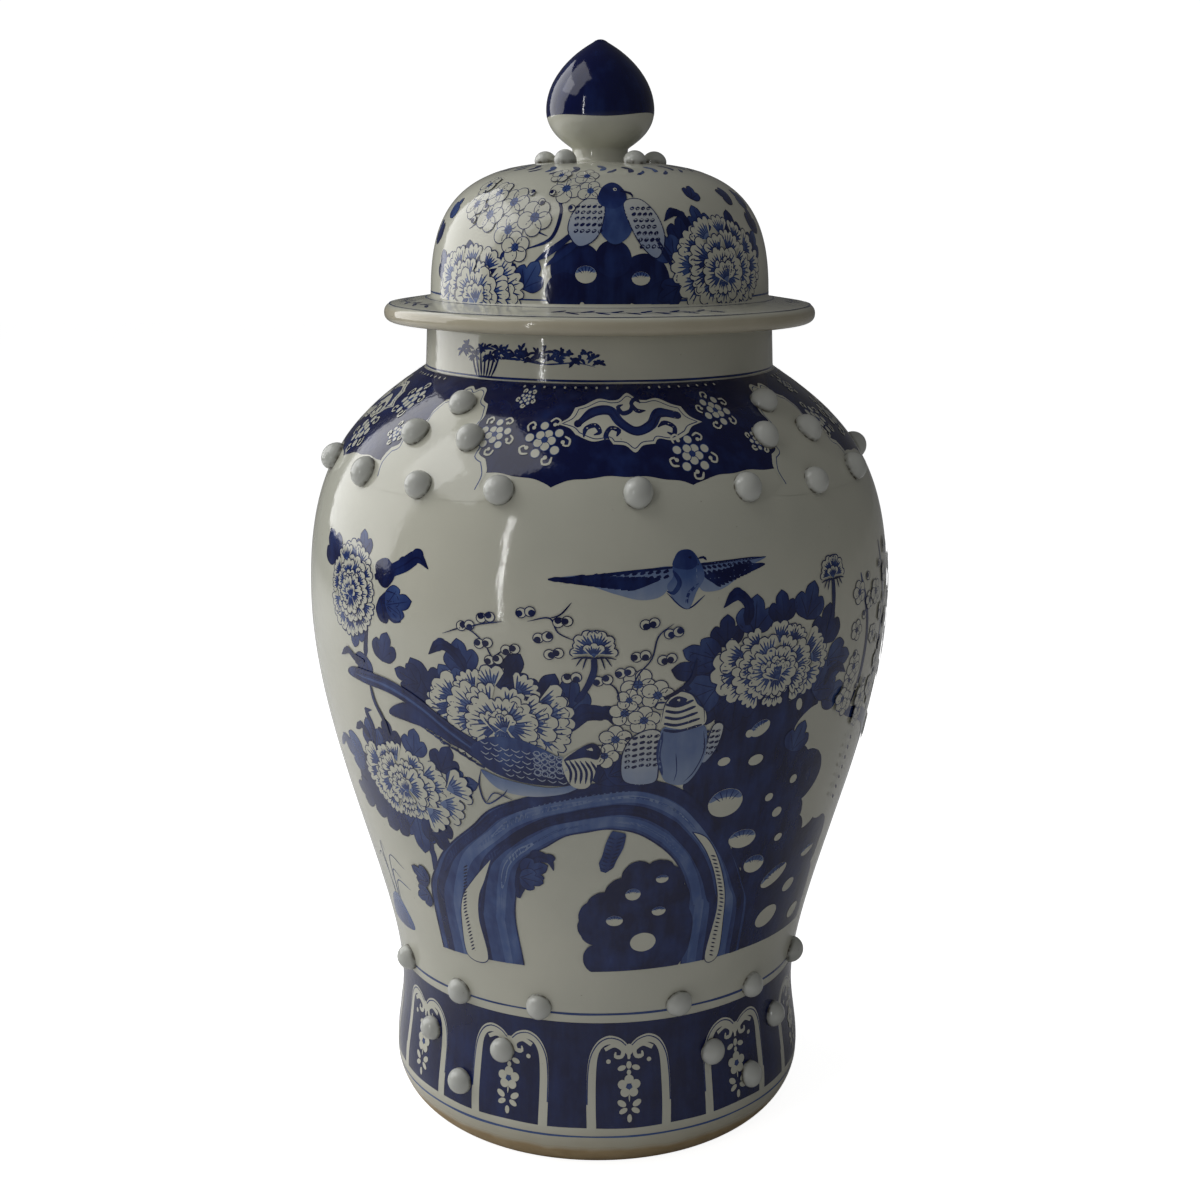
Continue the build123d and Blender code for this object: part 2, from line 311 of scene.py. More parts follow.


# %% [markdown]
# The foot was wiped clean so that it wouldn't stick to the kiln shelf: the glaze thins to
# cream, and below a wavy edge the bare clay is buff and rough. Height does that, with a
# little noise so that the edge isn't ruled. The bosses have the same glaze, and a dark
# brown ring where they meet the wall, partly dirt in the crevice and partly painted shade,
# which an attribute on their mesh marks.

# %% Foot, brim edge and boss finishes
def by_height(tree, low, high, waver):
    """0 below low and 1 above high, in metres of Object Z, with a wavering edge."""
    place = tree.nodes.new("ShaderNodeTexCoord")
    split = tree.nodes.new("ShaderNodeSeparateXYZ")
    tree.links.new(place.outputs["Object"], split.inputs["Vector"])
    waves = maths(tree, "MULTIPLY", noise(tree, 45, 2), waver)
    return span(tree, maths(tree, "ADD", split.outputs["Z"], waves), low, high, 0, 1)


foot_material, tree, skin, shader = glazed("foot_glaze")
above_clay = by_height(tree, 0.0135, 0.0175, 0.006)
above_cream = by_height(tree, 0.019, 0.031, 0.008)
clay = mixed(tree, noise(tree, 90, 4), (0.28, 0.19, 0.085, 1), (0.46, 0.35, 0.20, 1))
cream = mixed(tree, above_cream, (0.47, 0.44, 0.34, 1), skin.outputs["Color"])
tree.links.new(mixed(tree, above_clay, clay, cream), shader.inputs["Base Color"])
dry = maths(tree, "SUBTRACT", 0.75, maths(tree, "MULTIPLY", above_clay, 0.66))
tree.links.new(dry, shader.inputs["Roughness"])

lid_material, tree, skin, shader = glazed("lid_glaze")
above_edge = by_height(tree, 0.4622, 0.4642, 0.0006)
below_edge = by_height(tree, 0.4535, 0.4545, 0.0004)
bare_edge = maths(tree, "SUBTRACT", below_edge, above_edge)
edge_cream = mixed(tree, noise(tree, 60, 3), (0.42, 0.38, 0.28, 1), (0.52, 0.48, 0.37, 1))
tree.links.new(mixed(tree, bare_edge, skin.outputs["Color"], edge_cream),
               shader.inputs["Base Color"])

boss_material, tree, skin, shader = glazed(
    "boss_glaze", (0.58, 0.585, 0.545, 1), (0.50, 0.51, 0.475, 1), 0.35)
# the ring round each boss's foot is painted dark brown: partly dirt in the crevice, partly painted
# shade between boss and wall
crevice = tree.nodes.new("ShaderNodeAttribute")
crevice.attribute_name = "crevice"
dirt_and_shade = maths(tree, "MULTIPLY", crevice.outputs["Fac"],
             span(tree, noise(tree, 300, 3), 0.35, 0.6, 0.25, 1))
tree.links.new(mixed(tree, dirt_and_shade, skin.outputs["Color"], (0.085, 0.075, 0.055, 1)),
               shader.inputs["Base Color"])

inside_material = glazed("inside_glaze", (0.52, 0.53, 0.49, 1))[0]
print("materials:", [m.name for m in bpy.data.materials])


# %% [markdown]
# ## Turning the clay
#
# Spin turns a closed outline into a solid of revolution, as a lathe does. The jar is spun
# once and then cut at the heights where the sections were luted, so that each section is
# its own piece and the outside stays one unbroken curve. Points on the axis fall together
# in the middle and are merged, and the normals are made to agree before any cutting.

# %% Spin, finish and place a piece
TURN_STEPS = 320


def spun(outline, steps=TURN_STEPS):
    """A bmesh solid turned from a closed outline of radius and height in millimetres."""
    bm = bmesh.new()
    verts = [bm.verts.new((r * MM, 0, z * MM)) for r, z in outline]
    edges = [bm.edges.new((a, b)) for a, b in zip(verts, verts[1:] + verts[:1])]
    on_axis = [e for e in edges if all(abs(v.co.x) < 1e-7 for v in e.verts)]
    for edge in on_axis:
        bm.edges.remove(edge)
        edges.remove(edge)
    bmesh.ops.spin(bm, geom=verts + edges, cent=(0, 0, 0), axis=(0, 0, 1),
                   angle=math.tau, steps=steps, use_merge=True, use_duplicate=False)
    bmesh.ops.remove_doubles(bm, verts=bm.verts, dist=1e-6)
    bmesh.ops.recalc_face_normals(bm, faces=bm.faces)
    return bm


def smooth_mesh(bm, name):
    """A smooth-shaded mesh made from a bmesh, which is freed."""
    mesh = bpy.data.meshes.new(name)
    bm.to_mesh(mesh)
    bm.free()
    for polygon in mesh.polygons:
        polygon.use_smooth = True
    return mesh


def as_piece(mesh, material, body):
    """Makes a mesh a piece that rides a body, with its material."""
    mesh.materials.append(material)
    piece = bpy.data.objects.new(mesh.name, mesh)
    scene.collection.objects.link(piece)
    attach(piece, body)
    print(mesh.name, len(mesh.polygons), "faces")
    return piece


def piece_from(bm, name, material, body, replaced, sharp=35):
    """Turns a bmesh into a finished piece in place of some CAD nodes."""
    mesh = smooth_mesh(bm, name)
    mesh.set_sharp_from_angle(angle=math.radians(sharp))
    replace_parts(as_piece(mesh, material, body), *replaced)


# %% The three sections of the jar
def section(whole, low, high):
    """The slice of a turned wall between two heights, closed where it was cut."""
    part = whole.copy()
    for height, direction in ((low, -1), (high, 1)):
        if height is None:
            continue
        cut = bmesh.ops.bisect_plane(
            part, geom=part.verts[:] + part.edges[:] + part.faces[:],
            plane_co=(0, 0, height * MM), plane_no=(0, 0, direction),
            clear_outer=True, dist=1e-7)
        rim = [e for e in cut["geom_cut"] if isinstance(e, bmesh.types.BMEdge)]
        bmesh.ops.bridge_loops(part, edges=rim)
    bmesh.ops.recalc_face_normals(part, faces=part.faces)
    return part


foot_seam, belly_seam = top_of("foot_section"), top_of("belly_section")
whole_jar = spun(jar_outside + jar_inside)
for name, low, high, finish in (
    ("foot_section", None, foot_seam, foot_material),
    ("belly_section", foot_seam, belly_seam, glaze_material),
    ("shoulder_section", belly_seam, None, glaze_material),
):
    piece_from(section(whole_jar, low, high), "turned_" + name, finish, "jar",
               [name])
whole_jar.free()


# %% The neck, the lid and the finial
def rounded(corner, before, after, radius):
    """An arc-like curve that takes the corner off two straight runs."""
    a, c, b = Vector(before), Vector(corner), Vector(after)
    start, end = c + (a - c).normalized() * radius, c + (b - c).normalized() * radius
    return bend(start, start.lerp(c, 0.55), end.lerp(c, 0.55), end, 6)


neck_outline = (
    [(bore, neck_root[1]), (neck_root[0] - 0.4, neck_root[1])]
    + [(neck_root[0] - 0.4 - 0.9 * k / 8, neck_root[1] + (seat - neck_root[1] - 4) * k / 8)
       for k in range(1, 9)]
    + rounded((95.5, seat), (95.6, seat - 9), (bore, seat), 3)
    + rounded((bore, seat), (95.5, seat), (bore, neck_root[1]), 3)
)
piece_from(spun(neck_outline), "turned_neck", glaze_material, "jar",
           ["neck_collar"])

ring_in, ring_out, ring_low = 78.0, 84.5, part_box("lid_locating_ring")[0].z / MM
brim_top = seat + brim_edge
lid_outline = (
    [(3.0, crown), (3.0, crown - 9)]
    + bend((3.0, crown - 9), (67, crown - 9), (dome - 9, dome_base + 36),
           (ring_in, dome_base), 40)[1:]
    + [(ring_in, seat)]
    + rounded((brim, seat), (ring_in, seat), (brim, brim_top), 4)
    + rounded((brim, brim_top), (brim, seat), (dome, dome_base), 4)
    + [(110.0, brim_top + 1.4), (99.0, dome_base - 0.9)]
    + bend((95.6, dome_base - 0.35), (dome + 0.2, dome_base), (dome, dome_base + 0.6),
           (dome, dome_base + 2.6), 6)
    + [p for p in dome_outside if p[1] > dome_base + 3]
)
piece_from(spun(lid_outline), "turned_lid", lid_material, "lid",
           ["lid_shell"])

ring_outline = (
    [(ring_in, seat), (ring_out, seat)]
    + rounded((ring_out, ring_low), (ring_out, seat), (ring_in, ring_low), 2.2)
    + rounded((ring_in, ring_low), (ring_out, ring_low), (ring_in, seat), 2.2)
)
piece_from(spun(ring_outline), "turned_locating_ring", inside_material, "lid",
           ["lid_locating_ring"])

stem_top, widest = crown + 7.5, (29.3, crown + 27)
bowl, rise = widest[1] - stem_top, tip - widest[1]
finial_outside = (
    bend((stem + 1.6, crown), (stem, crown + 1), (stem - 0.5, stem_top - 2.4),
         (stem, stem_top - 0.6), 8)
    + bend((stem + 0.7, stem_top), (stem + bowl * 0.25, stem_top + bowl * 0.15),
           (widest[0], widest[1] - bowl * 0.55), widest, 26)
    + bend(widest, (widest[0], widest[1] + rise * 0.4), (18, widest[1] + rise * 0.75),
           (4, tip - 1.6), 44)[1:]
    + bend((4, tip - 1.6), (2.9, tip - 0.5), (1.4, tip), (0, tip), 6)[1:]
)
finial_outline = finial_outside + [(0.0, tip - rise / 2)] + bend(
    (0, tip - rise / 2), (23.3, tip - rise / 2), (30.3, stem_top + 3), (3, stem_top + 3), 16
)[1:] + [(3.0, crown)]
piece_from(spun(finial_outline, 128), "turned_finial", glaze_material, "lid",
           ["finial"], sharp=50)


# %% [markdown]
# ## Skins to paint on
#
# A painter works on the outside of a pot as on a map: so far round, and so far up the
# wall. A skin is that map. It keeps the wall's profile by its length, with the direction
# that the wall faces, so that a flat drawing in millimetres can be laid on the clay.

# %% Make a skin and lay a drawing on it
def make_skin(profile, around):
    """around is the radius at which a millimetre of the drawing is one round the pot."""
    line = np.array(profile, float)
    steps = np.diff(line, axis=0)
    length = np.concatenate([[0], np.cumsum(np.hypot(*steps.T))])
    along = np.gradient(line, length, axis=0)
    along /= np.linalg.norm(along, axis=1)[:, None]
    return {"length": length, "line": line, "along": along, "around": around}


def lay_on(mesh, skin):
    """Moves a flat drawing (x round, y up, z off the wall) on to the skin."""
    count = len(mesh.vertices)
    flat = np.empty(count * 3)
    mesh.vertices.foreach_get("co", flat)
    flat = flat.reshape(-1, 3)
    turn = flat[:, 0] / skin["around"]
    read = [np.interp(flat[:, 1], skin["length"], skin[key][:, axis])
            for key, axis in (("line", 0), ("line", 1), ("along", 0), ("along", 1))]
    radius, height, along_r, along_z = read
    size = np.hypot(along_r, along_z)
    out_r, out_z = along_z / size, -along_r / size
    radius = radius + out_r * flat[:, 2]
    height = height + out_z * flat[:, 2]
    placed = np.column_stack([radius * np.sin(turn), -radius * np.cos(turn), height]) * MM
    facing = np.column_stack([out_r * np.sin(turn), -out_r * np.cos(turn), out_z])
    mesh.vertices.foreach_set("co", placed.ravel())
    mesh.update()
    mesh.normals_split_custom_set_from_vertices(facing)


# the radius in millimetres at which each drawing is true to size
ON_WALL, ON_FOOT, ON_NECK, ON_DOME, ON_BRIM, ON_BUD = 150, 120, 96, 93, 105, 25
wall_skin = make_skin(jar_outside, ON_WALL)
foot_skin = make_skin(jar_outside, ON_FOOT)
neck_skin = make_skin([(neck_root[0] - 0.4, neck_root[1]), (95.7, seat - 3)], ON_NECK)
dome_skin = make_skin(dome_outside, ON_DOME)
brim_skin = make_skin([(brim - 2, brim_top + 0.25), (dome, dome_base)], ON_BRIM)
finial_skin = make_skin(finial_outside[9:], ON_BUD)
print("the wall is", round(wall_skin["length"][-1]), "mm long up its outside")


# %% [markdown]
# ## The brush
#
# Two touches make every mark: a dab, which fills an outline, and a stroke, which follows a
# path and thins towards its ends. A dab starts as a disc whose rim is moved on to the
# outline, and a stroke as a narrow grid bent along its path. Each new dab lies a hair above
# the last one, as wet pigment does, and the strokes that follow it share one height just
# over it. Big dabs are cut into small faces so that they can bend round the pot. How much
# pigment a touch leaves is stored as `ink`.

# %% Drawings, and curves through given points
def new_drawing(touch=0.006, cell=(2.0, 3.0)):
    """touch: how far each dab lies above the last. cell: the size of the small faces."""
    drawing = {"touch": touch, "cell": cell, "height": 0.05, "pages": []}
    turn_page(drawing)
    return drawing


def turn_page(drawing):
    """Puts a full page by and starts a new one, as a short page is quick to draw on."""
    if "bm" in drawing:
        page = bpy.data.meshes.new("page")
        drawing["bm"].to_mesh(page)
        drawing["bm"].free()
        drawing["pages"].append(page)
    drawing["bm"] = bmesh.new()
    drawing["ink"] = drawing["bm"].verts.layers.float.new("ink")


def page_of(drawing):
    """The page to draw on, and its ink layer. A page of over 300 faces is put by."""
    if len(drawing["bm"].faces) > 300:
        turn_page(drawing)
    return drawing["bm"], drawing["ink"]


def at(x, y, size=1.0, turn=0.0, flip=False):
    """How a motif is placed on the drawing: where, how large, how turned, and mirrored."""
    angle = math.radians(turn)
    matrix = size * np.array([[math.cos(angle), -math.sin(angle)],
                              [math.sin(angle), math.cos(angle)]])
    mirror = np.array([-1.0 if flip else 1.0, 1.0])
    return lambda points: (np.asarray(points, float) @ matrix.T) * mirror + (x, y)


def then(outer, inner):
    """A motif inside a motif."""
    return lambda points: outer(inner(points))


HERE = at(0, 0)


def oval(x, y, wide, high, count=8):
    """Points evenly spaced round an oval."""
    return [(x + wide * math.cos(t), y + high * math.sin(t))
            for t in np.arange(count) * math.tau / count]


def ring_of(x, y, radius):
    """Eight points round a circle."""
    return oval(x, y, radius, radius)


def flowing(points, closed, step=1.6):
    """A smooth curve through the points. A point given twice is a sharp corner."""
    p = np.asarray(points, float)
    if closed:
        p = np.vstack([p[-1], p, p[0], p[1]])
    else:
        p = np.vstack([2 * p[0] - p[1], p, 2 * p[-1] - p[-2]])
    drawn = []
    for a, b, c, d in zip(p, p[1:], p[2:], p[3:]):
        length = math.dist(b, c)
        if length < 1e-6:
            continue
        count = min(max(2, math.ceil(length / step)), 40)
        t = (np.arange(count) / count)[:, None]
        if math.dist(a, b) < 1e-6:
            a = b
        drawn.append(0.5 * (2 * b + (c - a) * t + (2 * a - 5 * b + 4 * c - d) * t**2
                            + (3 * b - a - 3 * c + d) * t**3))
    if not closed:
        drawn.append(p[-2][None])
    return np.vstack(drawn)


# %% Dab and stroke
def cut_small(bm, faces, cells):
    """Cuts faces along a grid, so that none is larger than a cell."""
    geometry = list({v for f in faces for v in f.verts} | {e for f in faces for e in f.edges})
    geometry += faces
    for axis, cell in enumerate(cells):
        places = [v.co[axis] for v in geometry if isinstance(v, bmesh.types.BMVert)]
        normal = [0.0, 0.0, 0.0]
        normal[axis] = 1.0
        low, high = math.ceil(min(places) / cell), math.floor(max(places) / cell)
        for line in range(low, high + 1):
            point = [line * cell if k == axis else 0.0 for k in range(3)]
            geometry = bmesh.ops.bisect_plane(
                bm, geom=geometry, dist=1e-4, plane_co=point, plane_no=normal)["geom"]


def dab(drawing, place, outline, ink=0.85):
    """Fills an outline. ink may be a number or a pair: at the bottom and at the top."""
    points = flowing(place(outline), True)
    bm, layer = page_of(drawing)
    drawing["height"] += drawing["touch"]
    rim = bmesh.ops.create_circle(bm, cap_ends=True, radius=1, segments=len(points))["verts"]
    low, high = points[:, 1].min(), points[:, 1].max()
    ink_low, ink_high = ink if isinstance(ink, tuple) else (ink, ink)
    for vert, (x, y) in zip(rim, points):
        vert.co = (x, y, drawing["height"])
        vert[layer] = ink_low + (ink_high - ink_low) * (y - low) / max(high - low, 1e-6)
    face = rim[0].link_faces[0]
    face.normal_update()
    if np.ptp(points, axis=0).max() > drawing["cell"][0]:
        cut_small(bm, [face], drawing["cell"])


def stroke(drawing, place, path, width, ink=0.9, closed=False, ends=(0.25, 0.25), step=1.6):
    """A brush stroke along a path. ends: how thin it is at its start and its end."""
    points = flowing(place(path), closed, step)
    if closed:
        points = np.vstack([points, points[:1]])
    count = len(points)
    bm, layer = page_of(drawing)
    height = drawing["height"] + 0.4 * drawing["touch"]
    rows = max(1, round(width / drawing["cell"][1]))
    grid = bmesh.ops.create_grid(bm, x_segments=count - 1, y_segments=rows, size=1)["verts"]
    along = np.gradient(points, axis=0)
    along /= np.maximum(np.linalg.norm(along, axis=1), 1e-9)[:, None]
    if closed:
        along[0] = along[-1] = along[0] + along[-1]
        along[0] /= np.linalg.norm(along[0])
        along[-1] = along[0]
        swell = np.ones(count)
    else:
        t = np.linspace(0, 1, count)
        swell = np.minimum(1, np.minimum(ends[0] + t * 4, ends[1] + (1 - t) * 4))
        swell = swell * (1 + 0.08 * np.sin(t * 9 + points[0, 0]))
    for vert in grid:
        k = round((vert.co.x + 1) / 2 * (count - 1))
        across = vert.co.y * width / 2 * swell[k]
        vert.co = (points[k, 0] - along[k, 1] * across, points[k, 1] + along[k, 0] * across,
                   height)
        vert[layer] = ink


def ribbon(drawing, place, one, other, ink=0.85):
    """Fills between two long lines that run the same way."""
    bm, layer = page_of(drawing)
    drawing["height"] += drawing["touch"]
    lines = [flowing(place(line), False, 0.8) for line in (one, other)]
    length = max(np.hypot(*np.diff(line, axis=0).T).sum() for line in lines)
    gap = max(math.dist(one[k], other[k]) for k in (0, -1))
    columns, rows = math.ceil(length / 1.6), max(1, math.ceil(gap / 2.4))
    spread = []
    for line in lines:
        far = np.concatenate([[0], np.cumsum(np.hypot(*np.diff(line, axis=0).T))])
        wanted = np.linspace(0, far[-1], columns + 1)
        spread.append(np.column_stack([np.interp(wanted, far, line[:, a]) for a in (0, 1)]))
    grid = bmesh.ops.create_grid(bm, x_segments=columns, y_segments=rows, size=1)["verts"]
    for vert in grid:
        k, share = round((vert.co.x + 1) / 2 * columns), (vert.co.y + 1) / 2
        x, y = spread[0][k] * (1 - share) + spread[1][k] * share
        vert.co = (x, y, drawing["height"])
        vert[layer] = ink


def band(drawing, low, high, around, ink=0.9, edge=None, rows=None):
    """A band painted all the way round. edge(x) may lower or raise its lower edge."""
    bm, layer = page_of(drawing)
    drawing["height"] += drawing["touch"]
    half = math.pi * around
    columns = round(2 * half / 2.2)
    rows = rows or max(1, round((high - low) / drawing["cell"][1]))
    grid = bmesh.ops.create_grid(bm, x_segments=columns, y_segments=rows, size=1)["verts"]
    for vert in grid:
        x, share = vert.co.x * half, (vert.co.y + 1) / 2
        bottom = low + (edge(x) if edge else 0)
        vert.co = (x, bottom + (high - bottom) * share, drawing["height"])
        vert[layer] = ink


# %% [markdown]
# A finished drawing is turned the right way up, laid on its skin and given its cobalt. It
# also gets a flat map, OFBake: pigment runs across the map, and the way round the pot runs
# up it. The material here doesn't read that map.

# %% From a drawing to a piece
def spread_by_ink(mesh, skin):
    """A map of the drawing by pigment and by how far round the pot it lies."""
    ink = np.empty(len(mesh.vertices))
    mesh.attributes["ink"].data.foreach_get("value", ink)
    flat = np.empty(3 * len(mesh.vertices))
    mesh.vertices.foreach_get("co", flat)
    turns = flat[::3] / (math.tau * skin["around"])
    corners = np.empty(len(mesh.loops), int)
    mesh.loops.foreach_get("vertex_index", corners)
    uv = np.column_stack([0.02 + 0.96 * np.clip(ink, 0, 1), 0.02 + 0.48 * (turns + 1) % 0.96])
    mesh.uv_layers.new(name="OFBake").data.foreach_set("uv", uv[corners].ravel())


def hang(drawing, name, skin, material, body):
    """Lays a finished drawing on its skin and makes it a piece."""
    turn_page(drawing)
    bm = bmesh.new()
    for page in drawing["pages"]:
        bm.from_mesh(page)
        bpy.data.meshes.remove(page)
    bmesh.ops.dissolve_degenerate(bm, dist=1e-4, edges=bm.edges)
    bm.normal_update()
    upside_down = [f for f in bm.faces if f.normal.z < 0]
    bmesh.ops.reverse_faces(bm, faces=upside_down)
    bmesh.ops.triangulate(bm, faces=bm.faces)
    mesh = smooth_mesh(bm, name)
    spread_by_ink(mesh, skin)
    lay_on(mesh, skin)
    as_piece(mesh, material, body)


# %% [markdown]
# ## The pressed bosses
#
# Each boss is a ball of clay pressed into a shallow mould and stuck on with slip, so no two
# are quite the same: a little egg-shaped, with a crevice round the foot where the glaze
# runs thin. The CAD has them as plain ball caps. Here each one starts as a ball at the
# middle of its CAD solid, is cut off under the wall, swells a little and gets its crevice,
# a ring round its foot that its glaze darkens to brown, partly dirt and partly painted shade.

# %% Find each CAD boss, and press a clay one in its place
boss_radii = {"shoulder": 7.8, "lobe": 7.8, "foot": 7.3, "lid": 6.4}


def boss_middles(node):
    """The middle of each separate solid in a node, in millimetres."""
    bm = bmesh.new()
    bm.from_mesh(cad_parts[node].data)
    bmesh.ops.remove_doubles(bm, verts=bm.verts, dist=1e-6)
    waiting, middles = set(bm.verts), []
    while waiting:
        found, edge = set(), [waiting.pop()]
        while edge:
            vert = edge.pop()
            found.add(vert)
            for other in (e.other_vert(vert) for e in vert.link_edges):
                if other in waiting:
                    waiting.discard(other)
                    edge.append(other)
        corners = np.array([v.co for v in found])
        middles.append(Vector((corners.min(0) + corners.max(0)) / 2) / MM)
    bm.free()
    return middles


def wall_facing(skin, middle):
    """The nearest place on a turned wall, and the way that the wall faces there."""
    reach = math.hypot(middle.x, middle.y)
    gap = np.hypot(skin["line"][:, 0] - reach, skin["line"][:, 1] - middle.z)
    k = int(gap.argmin())
    (radius, height), (along_r, along_z) = skin["line"][k], skin["along"][k]
    outward = Vector((middle.x / reach, middle.y / reach, 0))
    place = outward * radius + Vector((0, 0, height))
    sign = 1 if along_z * radius > 0 or along_r < 0 else -1  # a profile may run down
    facing = outward * (along_z * sign) + Vector((0, 0, -along_r * sign))
    return place, facing.normalized()


def press_bosses(node, skin, body):
    """One piece with a pressed clay boss for each solid in a CAD node."""
    bm = bmesh.new()
    crevice = bm.verts.layers.float.new("crevice")
    radius = boss_radii[node.split("_")[0]]
    for middle in boss_middles(node):
        place, facing = wall_facing(skin, middle)
        ball = bmesh.ops.create_uvsphere(bm, u_segments=32, v_segments=20, radius=radius)
        egg = hand.normal(1, 0.03, 3)
        lean = hand.normal(0, 0.05, 2)
        lump = hand.uniform(0, math.tau)
        for vert in ball["verts"]:
            around, up = math.atan2(vert.co.y, vert.co.x), vert.co.z / radius
            swell = 1 + 0.025 * math.cos(2 * around + lump) * (1 - abs(up))
            vert.co.x *= egg[0] * swell
            vert.co.y *= egg[1] * swell * (1.05 if vert.co.y < 0 else 1)
            vert.co.z = vert.co.z * egg[2] + 0.2 + lean[0] * vert.co.x + lean[1] * vert.co.y
            foot = max(0.0, 1 - abs(vert.co.z - 0.4) / 1.3)
            vert.co.x *= 1 - 0.035 * foot
            vert.co.y *= 1 - 0.035 * foot
            # marks the ring round the foot that the boss glaze darkens, partly as dirt and partly
            # as painted shade
            vert[crevice] = min(1.0, max(0.0, (2.1 - vert.co.z) / 1.4))
        faces = list({f for v in ball["verts"] for f in v.link_faces})
        edges = list({e for v in ball["verts"] for e in v.link_edges})
        cut = bmesh.ops.bisect_plane(bm, geom=ball["verts"] + edges + faces, dist=1e-5,
                                     plane_co=(0, 0, -2.4), plane_no=(0, 0, -1),
                                     clear_outer=True)
        rim = [e for e in cut["geom_cut"] if isinstance(e, bmesh.types.BMEdge)]
        bmesh.ops.contextual_create(bm, geom=rim)
        verts = [g for g in cut["geom"] if isinstance(g, bmesh.types.BMVert) and g.is_valid]
        verts += [g for g in cut["geom_cut"] if isinstance(g, bmesh.types.BMVert)]
        upright = facing.to_track_quat("Z", "Y").to_matrix().to_4x4()
        move = Matrix.Translation(place * MM) @ upright @ Matrix.Scale(MM, 4)
        bmesh.ops.transform(bm, matrix=move, verts=list(set(verts)))
    bmesh.ops.recalc_face_normals(bm, faces=bm.faces)
    piece_from(bm, "clay_" + node, boss_material, body, [node], sharp=60)


for number in range(1, 5):
    press_bosses(f"shoulder_bosses_{number}", wall_skin, "jar")
    press_bosses(f"foot_bosses_{number}", wall_skin, "jar")
press_bosses("lobe_bosses", wall_skin, "jar")
press_bosses("lid_bosses", dome_skin, "lid")


# %% [markdown]
# ## Motifs
#
# The painter's vocabulary is small and repeated with the wrist: petals with scalloped
# rims, plum blossoms, berries, lobed leaves, leaves that hook over, rocks with holes, and
# birds. Each is a function that draws round its own middle in millimetres, and `place`
# puts it on the drawing. White areas are touches with no ink, laid over darker ones.

# %% Petals and flowers
def fan(reach, spread, scallops, tuck=0.12):
    """A petal's outline: a point at the foot, and a rim of small scallops."""
    points = [(0, 0), (0, 0)]
    for k in range(scallops):
        for share, depth in ((0.0, tuck), (0.28, -0.02), (0.72, -0.02)):
            angle = math.radians(-spread + 2 * spread * (k + share) / scallops)
            out = reach * (1 - depth)
            points.append((out * math.sin(angle), out * math.cos(angle)))
            if share == 0.0:
                points.append(points[-1])
    angle = math.radians(spread)
    points.append((reach * (1 - tuck) * math.sin(angle), reach * (1 - tuck) * math.cos(angle)))
    return points


def petal(drawing, place, reach, spread=48, scallops=4, shade=0.55):
    """One peony petal: white with a dark rim, and a wash that fades up from its foot."""
    dab(drawing, place, fan(reach, spread, scallops), 0.0)
    dab(drawing, place, fan(reach * 0.60, spread * 0.85, 3, 0.3), (shade, shade * 0.6))
    for k in range(7):
        angle = math.radians((k - 3) * spread / 4)
        far = reach * hand.uniform(0.68, 0.92)
        path = [(reach * s * math.sin(angle), reach * s * math.cos(angle)) for s in (0.3, 0.5)]
        path.append((far * math.sin(angle), far * math.cos(angle)))
        stroke(drawing, place, path, 0.8, 0.64, ends=(1.0, 0.1))
    stroke(drawing, place, fan(reach, spread, scallops)[2:], 0.6, 0.8, ends=(0.7, 0.7))


PEONY_ROWS = (1.0, 0.72, 0.46, 0.2)  # how far out each row of petals lies


def peony(drawing, place, wide, high, heart=(0.0, -0.1)):
    """A full peony: rows of fan petals, the outer ones first."""
    for row, share in enumerate(PEONY_ROWS):
        count = max(3, round(12 * share))
        for k in range(count):
            angle = math.tau * (k + 0.5 * (row % 2) + hand.uniform(-0.1, 0.1)) / count
            inner = 1 - share
            x = wide * (share - 0.42) * math.sin(angle) + heart[0] * wide * inner
            y = high * (share - 0.42) * math.cos(angle) + heart[1] * high * inner
            size = 0.48 * math.hypot(wide * math.sin(angle), high * math.cos(angle))
            size = 0.9 * max(size, 0.36 * wide) * hand.uniform(0.88, 1.16)
            turn = -math.degrees(math.atan2(wide * math.sin(angle), high * math.cos(angle)))
            if row == len(PEONY_ROWS) - 1:
                x, y, turn, size = x * 0.4, y * 0.4 - size * 0.4, turn * 0.25, size * 0.8
            turn += hand.uniform(-14, 14)
            petal(drawing, then(place, at(x, y, 1, turn)), size, hand.uniform(42, 56),
                  int(hand.integers(3, 6)), hand.uniform(0.4, 0.66))


def side_flower(drawing, place, size, stem=()):
    """A flower seen from the side on its calyx, with sepals like claws."""
    if stem:
        stroke(drawing, place, stem, 0.30 * size, 0.82, ends=(0.8, 0.7))
    for x, y, turn, reach in ((-0.5, 0.3, 52, 0.8), (0.5, 0.3, -52, 0.8), (-0.2, 0.5, 16, 0.95),
                              (0.25, 0.5, -18, 0.92), (0, 0.1, 0, 0.72)):
        petal(drawing, then(place, at(x * size * 0.5, y * size, 1, turn)), reach * size, 50, 3)
    for side in (-1, 1):
        for reach, drop in ((1.0, 0.0), (0.8, -0.35), (0.5, -0.5)):
            stroke(drawing, place, [(0, 0.05 * size), (side * reach * size * 0.6, 0.1 * size),
                                    (side * reach * size, drop * size)], 0.8, 0.9)


def plum(drawing, place, size, heart=0.55):
    """A plum blossom: five round petals with a blue heart."""
    scaled = then(place, at(0, 0, size))
    for k in range(5):
        angle = math.tau * k / 5 + 0.3
        round_one = oval(0.6 * math.sin(angle), 0.6 * math.cos(angle), 0.52, 0.50, 7)
        dab(drawing, scaled, round_one, 0.0)
        stroke(drawing, scaled, round_one, 0.5, 0.85, closed=True)
    dab(drawing, place, oval(0, 0, 0.30 * size, 0.30 * size, 6), heart)
    for k in range(4):
        angle = math.tau * k / 4 + 0.5
        stroke(drawing, place, [(0, 0), (0.5 * size * math.cos(angle),
                                         0.5 * size * math.sin(angle))], 0.4, 0.95)


